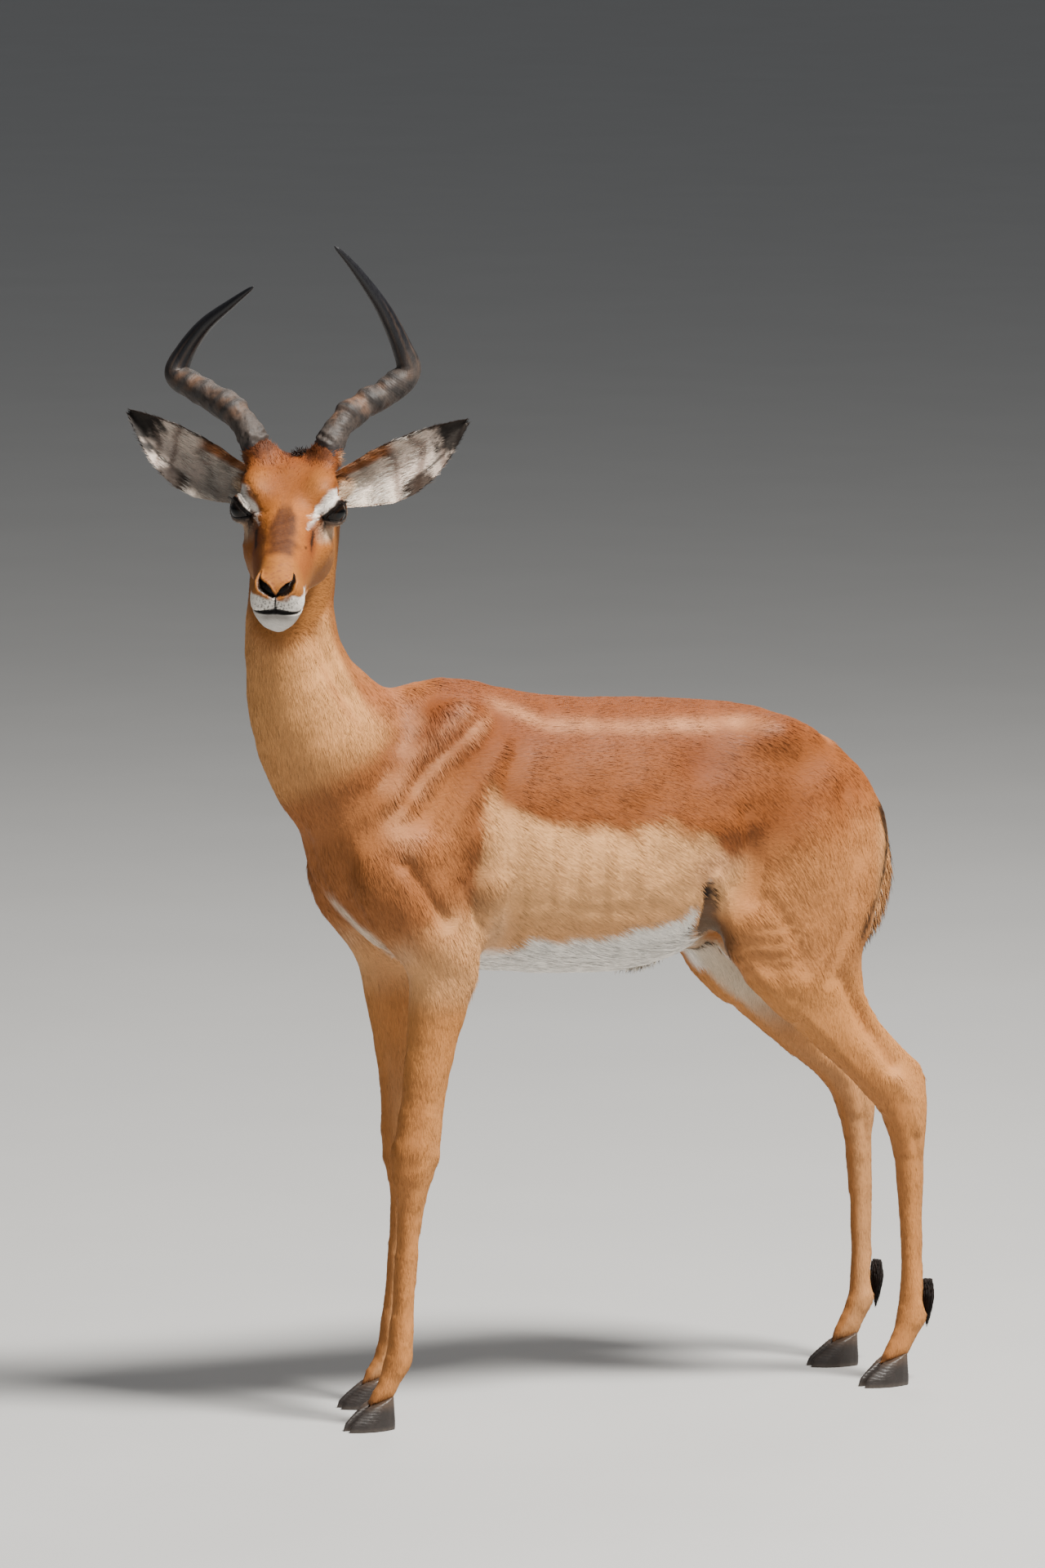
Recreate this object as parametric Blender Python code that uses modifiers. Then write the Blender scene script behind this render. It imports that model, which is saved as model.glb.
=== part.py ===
"""A life-size standing impala ram with its head turned to its left, as separate solids.

Metres, +Z up. The animal faces -Y, so +X is its left side. Places along the body are given as
`forward`, the distance in front of the middle of the four feet, which is -Y. The flesh is one fused
form, made of lofts and rounded masses, that thin cuts part into head, neck, trunk, rump and legs.
"""

import math

import bmesh
import bpy
import numpy as np
from mathutils import Euler, Matrix, Vector

# ------------------------------------------------------------------ driving sizes
GAP = 0.0004  # clearance between solids that meet
CUT = 0.0006  # width of the cuts that part the flesh
FUSE_VOXEL = 0.006
FLESH_TRIANGLES = 3300

# Heights of the joints, and where each foreleg's elbow, knee and fetlock stand, forward.
ELBOW_HEIGHT, KNEE_HEIGHT, FETLOCK_HEIGHT, PASTERN_BASE = 0.53, 0.315, 0.076, 0.024
FORE_LEGS = {"left": (0.290, 0.325, 0.346), "right": (0.284, 0.266, 0.284)}
PASTERN_REACH = 0.030  # how far forward of the fetlock the pastern meets the hooves
HIND_FETLOCK = -0.334
FORE_FOOT_OUT, HIND_FOOT_OUT = 0.070, 0.076
HIND_LEG_BACK = {"left": 0.0, "right": 0.014}  # how far the lower leg is set back
SIDES = {"left": 1, "right": -1}

HOOF_LENGTH, HOOF_WIDTH, HOOF_HEIGHT, TOE_GAP = 0.062, 0.0195, 0.033, 0.0022

# The head: its poll is the origin of its own frame, which faces -Y before it is turned.
POLL = Vector((0.032, -0.459, 1.154))
HEAD_PITCH, HEAD_ROLL, HEAD_YAW = math.radians(18), math.radians(1.6), math.radians(59.4)
EYE_RADIUS = 0.0175
EYE = (0.0485, 0.092, -0.045)  # out, forward and up from the poll
MOUTH_UP, MOUTH_CORNER = -0.099, 0.176  # the mouth's level and its corner, in the head's frame

# Horns, from their bases: how far out, back and up each stage of the curve reaches.
HORN_BASE = (0.037, 0.028, 0.006)  # out, forward and up from the poll
HORN_RADIUS = 0.0182
HORN_CURVES = {
    "left": [
        (0.000, -0.008, -0.020),
        (0.012, 0.012, 0.020),
        (0.036, 0.040, 0.043),
        (0.068, 0.064, 0.061),
        (0.091, 0.076, 0.084),
        (0.084, 0.072, 0.112),
        (0.062, 0.058, 0.160),
        (0.032, 0.038, 0.206),
        (0.010, 0.022, 0.233),
    ],
    "right": [
        (0.000, -0.008, -0.020),
        (0.019, 0.014, 0.024),
        (0.052, 0.042, 0.048),
        (0.084, 0.064, 0.064),
        (0.104, 0.076, 0.078),
        (0.094, 0.076, 0.104),
        (0.070, 0.064, 0.136),
        (0.037, 0.046, 0.163),
        (0.011, 0.030, 0.183),
    ],
}

EAR_LENGTH, EAR_HALF_WIDTH, EAR_THICKNESS = 0.174, 0.0335, 0.0036
EAR_STRIPS = 6
EAR_SAG = 0.0115  # how far the ear's middle bows below its axis
EAR_BASE = (0.046, 0.010, -0.054)  # out, forward and up from the poll
EAR_LIFT = {"left": 27, "right": 29.5}  # degrees above level
EAR_SWEEP = 12  # degrees back from straight out

# Trunk slices: forward, top, bottom, half width, fullness of the lower half
TRUNK = [
    (0.430, 0.742, 0.680, 0.020, 0.00),
    (0.414, 0.785, 0.635, 0.048, 0.05),
    (0.382, 0.822, 0.592, 0.073, 0.06),
    (0.340, 0.850, 0.556, 0.088, 0.06),
    (0.290, 0.868, 0.532, 0.098, 0.08),
    (0.220, 0.861, 0.522, 0.109, 0.10),
    (0.140, 0.846, 0.514, 0.118, 0.12),
    (0.050, 0.837, 0.509, 0.124, 0.12),
    (-0.030, 0.832, 0.520, 0.121, 0.08),
    (-0.100, 0.826, 0.560, 0.110, 0.00),
    (-0.165, 0.814, 0.590, 0.104, -0.05),
    (-0.225, 0.790, 0.600, 0.098, -0.05),
    (-0.272, 0.758, 0.612, 0.080, 0.00),
    (-0.303, 0.722, 0.630, 0.052, 0.00),
    (-0.314, 0.692, 0.650, 0.022, 0.00),
]

# Neck rings: out, forward, up, half width, half depth from nape to throat
NECK = [
    (0.000, 0.326, 0.735, 0.072, 0.108),
    (0.000, 0.386, 0.790, 0.067, 0.098),
    (0.000, 0.425, 0.845, 0.058, 0.080),
    (0.002, 0.447, 0.905, 0.050, 0.062),
    (0.006, 0.452, 0.965, 0.045, 0.054),
    (0.013, 0.450, 1.030, 0.044, 0.053),
    (0.021, 0.450, 1.075, 0.044, 0.052),
    (0.030, 0.452, 1.105, 0.036, 0.042),
]

# Head slices in its own frame: forward, top, bottom, half width, fullness of the lower half
HEAD = [
    (-0.015, -0.035, -0.080, 0.020, 0.0),
    (0.000, -0.012, -0.105, 0.038, 0.0),
    (0.025, 0.000, -0.128, 0.048, 0.0),
    (0.055, -0.002, -0.142, 0.051, -0.05),
    (0.090, -0.011, -0.146, 0.046, -0.08),
    (0.120, -0.020, -0.142, 0.043, -0.08),
    (0.150, -0.029, -0.136, 0.039, -0.05),
    (0.180, -0.037, -0.132, 0.0345, 0.0),
    (0.210, -0.044, -0.129, 0.031, 0.04),
    (0.235, -0.050, -0.127, 0.033, 0.08),
    (0.252, -0.056, -0.122, 0.032, 0.06),
    (0.262, -0.066, -0.112, 0.024, 0.0),
    (0.266, -0.078, -0.099, 0.011, 0.0),
]

# Forelegs, as level slices: height, half depth fore and aft, half width, how far out the middle is
FORE_SLICES = [
    (0.740, 0.050, 0.020, 0.045),
    (0.700, 0.078, 0.036, 0.062),
    (0.650, 0.086, 0.042, 0.068),
    (0.600, 0.076, 0.042, 0.070),
    (0.560, 0.058, 0.037, 0.073),
    (0.530, 0.046, 0.033, 0.074),
    (0.471, 0.0367, 0.0265, 0.073),
    (0.423, 0.0316, 0.0235, 0.072),
    (0.374, 0.0285, 0.0215, 0.071),
    (0.330, 0.0305, 0.0235, 0.070),
    (0.300, 0.0285, 0.0230, 0.070),
    (0.272, 0.0215, 0.0180, 0.070),
    (0.229, 0.0165, 0.0140, 0.070),
    (0.150, 0.0155, 0.0135, 0.070),
    (0.098, 0.0175, 0.0165, 0.070),
    (0.074, 0.0185, 0.0175, 0.070),
    (0.050, 0.0155, 0.0160, 0.070),
    (0.024, 0.0190, 0.0175, 0.070),
]
SHOULDER_LEAN = [(0.74, 0.010), (0.65, 0.030), (0.60, 0.024), (0.53, 0.0)]

# Hind leg, level slices: height, front, rear (both forward), outer and inner faces
HIND_SLICES = [
    (0.775, -0.150, -0.235, 0.078, 0.010),
    (0.740, -0.105, -0.274, 0.101, 0.008),
    (0.690, -0.082, -0.302, 0.113, 0.006),
    (0.640, -0.070, -0.307, 0.118, 0.008),
    (0.595, -0.068, -0.296, 0.119, 0.014),
    (0.555, -0.078, -0.280, 0.117, 0.026),
    (0.515, -0.092, -0.264, 0.112, 0.038),
    (0.480, -0.120, -0.256, 0.107, 0.045),
    (0.440, -0.167, -0.262, 0.102, 0.050),
    (0.405, -0.210, -0.298, 0.099, 0.053),
    (0.372, -0.250, -0.334, 0.098, 0.054),
    (0.340, -0.284, -0.350, 0.098, 0.053),
    (0.308, -0.300, -0.352, 0.097, 0.054),
    (0.270, -0.310, -0.348, 0.093, 0.058),
    (0.200, -0.316, -0.349, 0.090, 0.061),
    (0.130, -0.318, -0.351, 0.090, 0.061),
    (0.098, -0.316, -0.354, 0.093, 0.059),
    (0.076, -0.314, -0.354, 0.094, 0.058),
    (0.050, -0.302, -0.336, 0.092, 0.060),
    (0.024, -0.286, -0.324, 0.093, 0.059),
]
# Achilles tendon and heel bone: height, forward, radius
HEEL_CORD = [
    (0.530, -0.246, 0.018),
    (0.465, -0.263, 0.0130),
    (0.415, -0.299, 0.0110),
    (0.378, -0.338, 0.0105),
    (0.345, -0.345, 0.0105),
    (0.300, -0.338, 0.0090),
]

# Tail: forward, up, half width, half depth
TAIL = [
    (-0.270, 0.730, 0.019, 0.014),
    (-0.296, 0.706, 0.021, 0.015),
    (-0.318, 0.664, 0.021, 0.014),
    (-0.327, 0.622, 0.022, 0.013),
    (-0.320, 0.578, 0.021, 0.012),
    (-0.309, 0.545, 0.015, 0.009),
    (-0.300, 0.522, 0.005, 0.004),
]

COLOURS = {
    "coat": (0.56, 0.27, 0.12),
    "horn": (0.09, 0.08, 0.08),
    "hoof": (0.05, 0.045, 0.04),
    "eye": (0.02, 0.015, 0.012),
    "black_hair": (0.015, 0.012, 0.010),
}
ROUGHNESS = {"coat": 0.6, "horn": 0.45, "hoof": 0.4, "eye": 0.05, "black_hair": 0.7}


# ------------------------------------------------------------------ making and joining shapes
def clear_scene():
    for obj in list(bpy.data.objects):
        bpy.data.objects.remove(obj)


def material(name):
    found = bpy.data.materials.get(name)
    if found:
        return found
    made = bpy.data.materials.new(name)
    made.use_nodes = True
    shader = made.node_tree.nodes["Principled BSDF"]
    shader.inputs["Base Color"].default_value = (*COLOURS[name], 1.0)
    shader.inputs["Roughness"].default_value = ROUGHNESS[name]
    shader.inputs["Metallic"].default_value = 0.0
    return made


def collection(name):
    made = bpy.data.collections.new(name)
    bpy.context.scene.collection.children.link(made)
    return made


def place(forward, out=0.0, up=0.0):
    """A point from its distances forward, to the left and up."""
    return Vector((out, -forward, up))


def smooth_rows(rows, steps):
    """Rows of numbers with `steps` new ones to each span, on a Catmull-Rom spline through them."""
    table = np.array(rows, float)
    ends = np.vstack([2 * table[0] - table[1], table, 2 * table[-1] - table[-2]])
    made = []
    for k in range(len(table) - 1):
        before, start, end, after = ends[k : k + 4]
        for t in np.arange(steps) / steps:
            curve = 2 * start + (end - before) * t
            curve = curve + (2 * before - 5 * start + 4 * end - after) * t**2
            curve = curve + (3 * start - before - 3 * end + after) * t**3
            made.append(curve / 2)
    return np.array([*made, table[-1]])


def oval(centre, across, along, half_across, half_along, fullness=0.0, sides=24):
    """A closed ring: half_across along `across`, half_along along `along`, fuller on its far side."""
    angles = 2 * np.pi * np.arange(sides) / sides
    widths = half_across * np.cos(angles) * (1 - fullness * np.sin(angles))
    return [centre + across * w + along * (half_along * math.sin(a)) for w, a in zip(widths, angles)]


def form_object(name, bm):
    mesh = bpy.data.meshes.new(name)
    bm.to_mesh(mesh)
    bm.free()
    obj = bpy.data.objects.new(name, mesh)
    forms.objects.link(obj)
    return obj


def skin_rings(name, rings):
    """A closed mesh through rings of equal count, each end closed by a fan."""
    bm = bmesh.new()
    loops = [[bm.verts.new(p) for p in ring] for ring in rings]
    count = len(loops[0])
    for lower, upper in zip(loops, loops[1:]):
        for i in range(count):
            j = (i + 1) % count
            bm.faces.new((lower[i], lower[j], upper[j], upper[i]))
    for loop in (loops[0], loops[-1]):
        middle = bm.verts.new(sum((v.co for v in loop), Vector()) / count)
        for i in range(count):
            bm.faces.new((loop[i], loop[(i + 1) % count], middle))
    bmesh.ops.recalc_face_normals(bm, faces=bm.faces)
    return form_object(name, bm)


def sliced_form(name, slices, steps=4, sides=32):
    """A loft through upright slices: forward, top, bottom, half width, fullness of the lower half."""
    rings = []
    for forward, top, bottom, half_width, fullness in smooth_rows(slices, steps):
        centre, half_height = place(forward, 0, (top + bottom) / 2), (top - bottom) / 2
        rings.append(oval(centre, Vector((1, 0, 0)), Vector((0, 0, 1)), half_width, half_height, fullness, sides))
    return skin_rings(name, rings)


def tube_form(name, rows, steps=4, sides=20):
    """A loft along a path: point, half width to the sides, half depth in the plane of the body."""
    table = smooth_rows([(*point, wide, deep) for point, wide, deep in rows], steps)
    points = [Vector(row[:3]) for row in table]
    rings = []
    for k, row in enumerate(table):
        path = (points[min(k + 1, len(points) - 1)] - points[max(k - 1, 0)]).normalized()
        across = (Vector((1, 0, 0)) - path * path.x).normalized()
        rings.append(oval(points[k], across, path.cross(across), row[3], row[4], 0.0, sides))
    return skin_rings(name, rings)


def level_form(name, slices, steps=3, sides=20):
    """A loft through level slices: height, front, rear, outer and inner faces."""
    rings = []
    for height, front, rear, outer, inner in smooth_rows(slices, steps):
        centre = place((front + rear) / 2, (outer + inner) / 2, height)
        half_width, half_depth = abs(outer - inner) / 2, (front - rear) / 2
        rings.append(oval(centre, Vector((1, 0, 0)), Vector((0, -1, 0)), half_width, half_depth, 0.0, sides))
    return skin_rings(name, rings)


def rounded_mass(name, centre, radii, tilt=(0, 0, 0), segments=24):
    """A muscle or bone as an ellipsoid: its centre, its radii in X, Y and Z, and its tilt in degrees."""
    bm = bmesh.new()
    bmesh.ops.create_uvsphere(bm, u_segments=segments, v_segments=2 * segments // 3, radius=1.0)
    turn = Euler([math.radians(a) for a in tilt]).to_matrix().to_4x4()
    bm.transform(Matrix.Translation(centre) @ turn @ Matrix.Diagonal((*radii, 1.0)))
    return form_object(name, bm)


def head_matrix():
    turn = Euler((HEAD_PITCH, HEAD_ROLL, HEAD_YAW)).to_matrix().to_4x4()
    return Matrix.Translation(POLL) @ turn


def settle(obj, matrix=None):
    """Bakes the object's modifiers, and a matrix, into its mesh."""
    bpy.context.view_layer.update()
    graph = bpy.context.evaluated_depsgraph_get()
    mesh = bpy.data.meshes.new_from_object(obj.evaluated_get(graph))
    if matrix is not None:
        mesh.transform(matrix)
    obj.modifiers.clear()
    obj.data = mesh
    return obj


def joined(name, objects):
    """One mesh object from several, which may overlap."""
    bm = bmesh.new()
    for obj in objects:
        bm.from_mesh(obj.data)
    return form_object(name, bm)


# ------------------------------------------------------------------ the flesh
def interpolate(pairs, at):
    keys, values = zip(*sorted(pairs))
    return float(np.interp(at, keys, values))


def fore_leg(side):
    """A foreleg from the shoulder to the hoof's top."""
    sign = SIDES[side]
    elbow, knee, fetlock = FORE_LEGS[side]
    line = [(ELBOW_HEIGHT, elbow), (KNEE_HEIGHT, knee), (FETLOCK_HEIGHT, fetlock)]
    line.append((PASTERN_BASE, fetlock + PASTERN_REACH))
    slices = []
    for height, half_depth, half_width, out in FORE_SLICES:
        middle = interpolate(line, height)
        if height > ELBOW_HEIGHT:
            middle += interpolate(SHOULDER_LEAN, height)
        outer, inner = sign * (out + half_width), sign * (out - half_width)
        slices.append((height, middle + half_depth, middle - half_depth, outer, inner))
    return level_form(f"fore_leg_form_{side}", slices)


def hind_shift(side, height):
    return HIND_LEG_BACK[side] * interpolate([(0.36, 1.0), (0.60, 0.0)], height)


def hind_leg(side):
    """A hind leg from the croup to the hoof's top, and its heel cord."""
    sign = SIDES[side]
    slices = []
    for height, front, rear, outer, inner in HIND_SLICES:
        back = hind_shift(side, height)
        slices.append((height, front - back, rear - back, sign * outer, sign * inner))
    cord = []
    for height, forward, radius in HEEL_CORD:
        centre = place(forward - hind_shift(side, height), sign * HIND_FOOT_OUT, height)
        cord.append((centre, 0.85 * radius, radius))
    leg = level_form(f"hind_leg_form_{side}", slices)
    return [leg, tube_form(f"heel_cord_{side}", cord, sides=12)]


def head_forms():
    """The head's loft with its orbits, cheeks and brow, turned into place."""
    made = [sliced_form("skull_form", HEAD)]
    out, forward, up = EYE
    for side, sign in SIDES.items():
        orbit = place(forward - 0.008, sign * (out - 0.008), up)
        brow = place(forward - 0.014, sign * 0.036, -0.016)
        made += [
            rounded_mass(f"orbit_{side}", orbit, (0.021, 0.028, 0.025)),
            rounded_mass(f"brow_{side}", brow, (0.022, 0.036, 0.014), (8, 0, 0)),
            rounded_mass(f"cheek_{side}", place(0.094, sign * 0.034, -0.098), (0.0215, 0.058, 0.038), (-14, 0, 0)),
            rounded_mass(f"horn_boss_{side}", place(0.030, sign * 0.034, -0.008), (0.022, 0.026, 0.018)),
            rounded_mass(f"lip_{side}", place(0.236, sign * 0.017, -0.088), (0.018, 0.024, 0.016)),
            rounded_mass(f"nostril_{side}", place(0.248, sign * 0.015, -0.068), (0.015, 0.018, 0.012)),
        ]
    made.append(rounded_mass("chin", place(0.233, 0, -0.117), (0.023, 0.026, 0.017)))
    made.append(rounded_mass("throat", place(0.015, 0, -0.095), (0.036, 0.040, 0.036)))
    for form in made:
        settle(form, head_matrix())
    return made


def body_forms():
    made = [sliced_form("barrel", TRUNK)]
    rings = [(place(forward, out, up), wide, deep) for out, forward, up, wide, deep in NECK]
    made.append(tube_form("neck_form", rings, sides=28))
    for side, sign in SIDES.items():
        made.append(fore_leg(side))
        made += hind_leg(side)
        made += [
            rounded_mass(f"blade_{side}", place(0.286, sign * 0.054, 0.752), (0.034, 0.064, 0.110), (-22, 0, 0)),
            rounded_mass(f"hip_{side}", place(-0.150, sign * 0.060, 0.772), (0.034, 0.070, 0.040)),
        ]
    made.append(rounded_mass("sheath", place(-0.066, 0, 0.545), (0.013, 0.040, 0.020), (-18, 0, 0)))
    made.append(rounded_mass("scrotum", place(-0.130, 0, 0.545), (0.024, 0.022, 0.038)))
    return made


def fused_flesh():
    """All the forms as one skin: a voxel remesh, softened where masses join, then thinned out."""
    flesh = joined("flesh", body_forms() + head_forms())
    remesh = flesh.modifiers.new("fuse", "REMESH")
    remesh.mode, remesh.voxel_size = "VOXEL", FUSE_VOXEL
    settle(flesh)
    group = flesh.vertex_groups.new(name="soft")
    for vertex in flesh.data.vertices:
        weight = interpolate([(0.36, 0.12), (0.56, 1.0), (0.98, 1.0), (1.06, 0.25)], vertex.co.z)
        group.add([vertex.index], weight, "REPLACE")
    soften = flesh.modifiers.new("soften", "SMOOTH")
    soften.factor, soften.iterations, soften.vertex_group = 0.5, 20, "soft"
    settle(flesh)
    flesh.vertex_groups.clear()
    thin = flesh.modifiers.new("thin", "DECIMATE")
    thin.ratio = FLESH_TRIANGLES / (2 * len(flesh.data.polygons))
    settle(flesh)
    return flesh


# ------------------------------------------------------------------ separate solids
def horn(side):
    """A lyre-shaped horn, round in section and drawn out to a point."""
    sign, turn = SIDES[side], Matrix.Rotation(HEAD_YAW, 3, "Z")
    out, forward, up = HORN_BASE
    base = head_matrix() @ place(forward, sign * out, up)
    stages = smooth_rows(HORN_CURVES[side], 3)
    points = [base + turn @ Vector((sign * x, back, z)) for x, back, z in stages]
    rings = []
    for k, point in enumerate(points):
        share = k / (len(points) - 1)
        radius = HORN_RADIUS * (1 - 0.28 * share - 0.62 * (max(0.0, share - 0.45) / 0.55) ** 1.3)
        path = (points[min(k + 1, len(points) - 1)] - points[max(k - 1, 0)]).normalized()
        across = path.orthogonal().normalized() if k == 0 else (across - path * across.dot(path)).normalized()
        rings.append(oval(point, across, path.cross(across), radius, radius, 0.0, 10))
    return skin_rings(f"horn_{side}", rings)


def ear(side):
    """An ear as a cupped leaf, thickened, with its hollow facing forward."""
    sign = SIDES[side]
    lift, sweep = math.radians(EAR_LIFT[side]), math.radians(EAR_SWEEP)
    axis = Vector((sign * math.cos(lift) * math.cos(sweep), math.cos(lift) * math.sin(sweep), math.sin(lift)))
    opening = Vector((0.25 * sign, -1.0, 0.10))
    opening = (opening - axis * opening.dot(axis)).normalized()
    across = axis.cross(opening)
    out, forward, up = EAR_BASE
    turn = Matrix.Rotation(HEAD_YAW, 4, "Z")
    base = head_matrix() @ place(forward, sign * out, up)
    widths = [(0, 0.6), (0.12, 0.75), (0.3, 0.97), (0.45, 1), (0.62, 0.88), (0.8, 0.58), (0.93, 0.27), (1, 0.08)]
    bm = bmesh.new()
    grid = []
    for s in np.linspace(0, 1, 11):
        half = EAR_HALF_WIDTH * interpolate(widths, s)
        cup = 0.9 * half * (1 - 0.75 * s) + 0.004
        bow = EAR_SAG * math.sin(math.pi * s**0.9)
        row = []
        for t in np.linspace(-1, 1, EAR_STRIPS + 1):
            row.append(bm.verts.new(axis * (EAR_LENGTH * s) + across * (sign * bow + half * t) + opening * (cup * (t * t - 0.5))))
        grid.append(row)
    for lower, upper in zip(grid, grid[1:]):
        for i in range(EAR_STRIPS):
            bm.faces.new((lower[i], lower[i + 1], upper[i + 1], upper[i]))
    bm.transform(Matrix.Translation(base) @ turn)
    obj = form_object(f"ear_{side}", bm)
    shell = obj.modifiers.new("thickness", "SOLIDIFY")
    shell.thickness, shell.offset = EAR_THICKNESS, 0.0
    return settle(obj)


def hoof(name, centre, out_sign, turn):
    """One toe's hoof: a flat D-shaped sole drawn to a point, leaning back to its top."""
    rings = []
    shapes = [(0.0, 1.0, 0.0, 1.0), (0.30, 0.95, -0.03, 0.98), (0.62, 0.78, -0.10, 0.92), (1.0, 0.58, -0.19, 0.82)]
    for level, length, shift, width in shapes:
        ring = []
        for angle in 2 * np.pi * np.arange(12) / 12:
            along = math.cos(angle)
            forward = HOOF_LENGTH * (0.5 * length * along + shift)
            side = 0.5 + 0.5 * math.sin(angle)
            taper = 1 - 0.45 * max(0.0, along) ** 2
            out = TOE_GAP / 2 + HOOF_WIDTH * width * (side * taper)
            ring.append((forward, out_sign * out, HOOF_HEIGHT * level * (1 - 0.22 * along * level)))
        rings.append([centre + turn @ place(*point) for point in ring])
    return skin_rings(name, rings)


def foot(side, end):
    """The two hooves of a foot."""
    sign = SIDES[side]
    if end == "fore":
        forward, out = FORE_LEGS[side][2] + PASTERN_REACH, FORE_FOOT_OUT
    else:
        forward, out = HIND_FETLOCK - HIND_LEG_BACK[side] + PASTERN_REACH, HIND_FOOT_OUT
    turn = Matrix.Rotation(math.radians(6 * sign), 3, "Z")
    centre = place(forward + 0.010, sign * out, 0)
    return [
        hoof(f"hoof_{end}_{side}_outer", centre, sign, turn),
        hoof(f"hoof_{end}_{side}_inner", centre, -sign, turn),
    ]


def eye(side):
    out, forward, up = EYE
    ball = rounded_mass(f"eye_{side}", place(forward, SIDES[side] * out, up), (EYE_RADIUS,) * 3, segments=12)
    return settle(ball, head_matrix())


def tuft(side):
    """The black gland tuft on the back of a hind leg, above the fetlock."""
    centre = place(-0.355 - HIND_LEG_BACK[side], SIDES[side] * HIND_FOOT_OUT, 0.098)
    return rounded_mass(f"fetlock_tuft_{side}", centre, (0.013, 0.012, 0.030), (6, 0, 0), segments=9)


def tail():
    rings = [(place(forward, 0, up), wide, deep) for forward, up, wide, deep in TAIL]
    return tube_form("tail", rings, steps=2, sides=10)


# ------------------------------------------------------------------ cutting
def grown(obj, distance):
    """A copy of a closed form with its surface moved outward."""
    bm = bmesh.new()
    bm.from_mesh(obj.data)
    bm.normal_update()
    moves = [(v, v.normal * distance * v.calc_shell_factor()) for v in bm.verts]
    for vert, move in moves:
        vert.co += move
    return form_object(f"{obj.name}_room", bm)


def boolean(obj, cutter, operation):
    cut = obj.modifiers.new(operation.lower(), "BOOLEAN")
    cut.operation, cut.solver, cut.object = operation, "EXACT", cutter
    return settle(obj)


def kept_side(mesh, point, normal, name):
    """The part of a closed mesh on the side that `normal` points to, closed where it was cut."""
    bm = bmesh.new()
    bm.from_mesh(mesh)
    geometry = bm.verts[:] + bm.edges[:] + bm.faces[:]
    cut = bmesh.ops.bisect_plane(bm, geom=geometry, dist=1e-6, plane_co=point, plane_no=normal, clear_inner=True)
    edges = [e for e in cut["geom_cut"] if isinstance(e, bmesh.types.BMEdge) and e.is_boundary]
    bmesh.ops.triangle_fill(bm, edges=edges, use_beauty=True, normal=[-x for x in normal])
    bmesh.ops.recalc_face_normals(bm, faces=bm.faces)
    made = bpy.data.meshes.new(name)
    bm.to_mesh(made)
    bm.free()
    return made


def parted(mesh, point, normal):
    """Both sides of a cut of width CUT: the one that the normal points to, then the other."""
    normal = Vector(normal).normalized()
    ahead = kept_side(mesh, point + normal * CUT / 2, normal, "ahead")
    behind = kept_side(mesh, point - normal * CUT / 2, -normal, "behind")
    return ahead, behind


def islands(mesh):
    """The separate closed bodies of a mesh, as (mesh, middle) pairs."""
    bm = bmesh.new()
    bm.from_mesh(mesh)
    bm.verts.ensure_lookup_table()
    labels = [-1] * len(bm.verts)
    count = 0
    for start in bm.verts:
        if labels[start.index] >= 0:
            continue
        stack = [start]
        labels[start.index] = count
        while stack:
            vert = stack.pop()
            for edge in vert.link_edges:
                other = edge.other_vert(vert)
                if labels[other.index] < 0:
                    labels[other.index] = count
                    stack.append(other)
        count += 1
    found = []
    for label in range(count):
        copy = bm.copy()
        copy.verts.ensure_lookup_table()
        extra = [v for v in copy.verts if labels[v.index] != label]
        bmesh.ops.delete(copy, geom=extra, context="VERTS")
        middle = sum((v.co for v in copy.verts), Vector()) / len(copy.verts)
        made = bpy.data.meshes.new("island")
        copy.to_mesh(made)
        copy.free()
        found.append((made, middle))
    bm.free()
    return found


def node(name, mesh, slot):
    """One sub-part of the model."""
    obj = bpy.data.objects.new(name, mesh)
    obj.data.materials.clear()
    obj.data.materials.append(material(slot))
    model.objects.link(obj)
    return obj


def leg_nodes(mesh, cuts, names):
    """A leg's mesh parted from the top down by level cuts into named nodes."""
    for height, name in zip(cuts, names):
        upper, mesh = parted(mesh, Vector((0, 0, height)), (0, 0, 1))
        node(name, upper, "coat")
    node(names[-1], mesh, "coat")


def jaw_nodes(head_mesh):
    """The head with its lower jaw parted from it along the mouth."""
    head_form = form_object_from(head_mesh, "head_form")
    jaw_form = form_object_from(head_mesh, "jaw_form")
    room, block = jaw_block(CUT), jaw_block(0.0)
    boolean(head_form, room, "DIFFERENCE")
    boolean(jaw_form, block, "INTERSECT")
    node("head", head_form.data, "coat")
    node("lower_jaw", jaw_form.data, "coat")


def form_object_from(mesh, name):
    bm = bmesh.new()
    bm.from_mesh(mesh)
    return form_object(name, bm)


def jaw_block(margin):
    """A block in the head's frame that holds all below the mouth and ahead of its corner."""
    bm = bmesh.new()
    bmesh.ops.create_cube(bm, size=1.0)
    length, height = 0.16 + margin, 0.10 + margin
    size = Matrix.Diagonal((0.20, length, height, 1.0))
    centre = place(MOUTH_CORNER - margin + length / 2, 0, MOUTH_UP + margin - height / 2)
    bm.transform(head_matrix() @ Matrix.Translation(centre) @ size)
    return form_object("jaw_block", bm)


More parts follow.
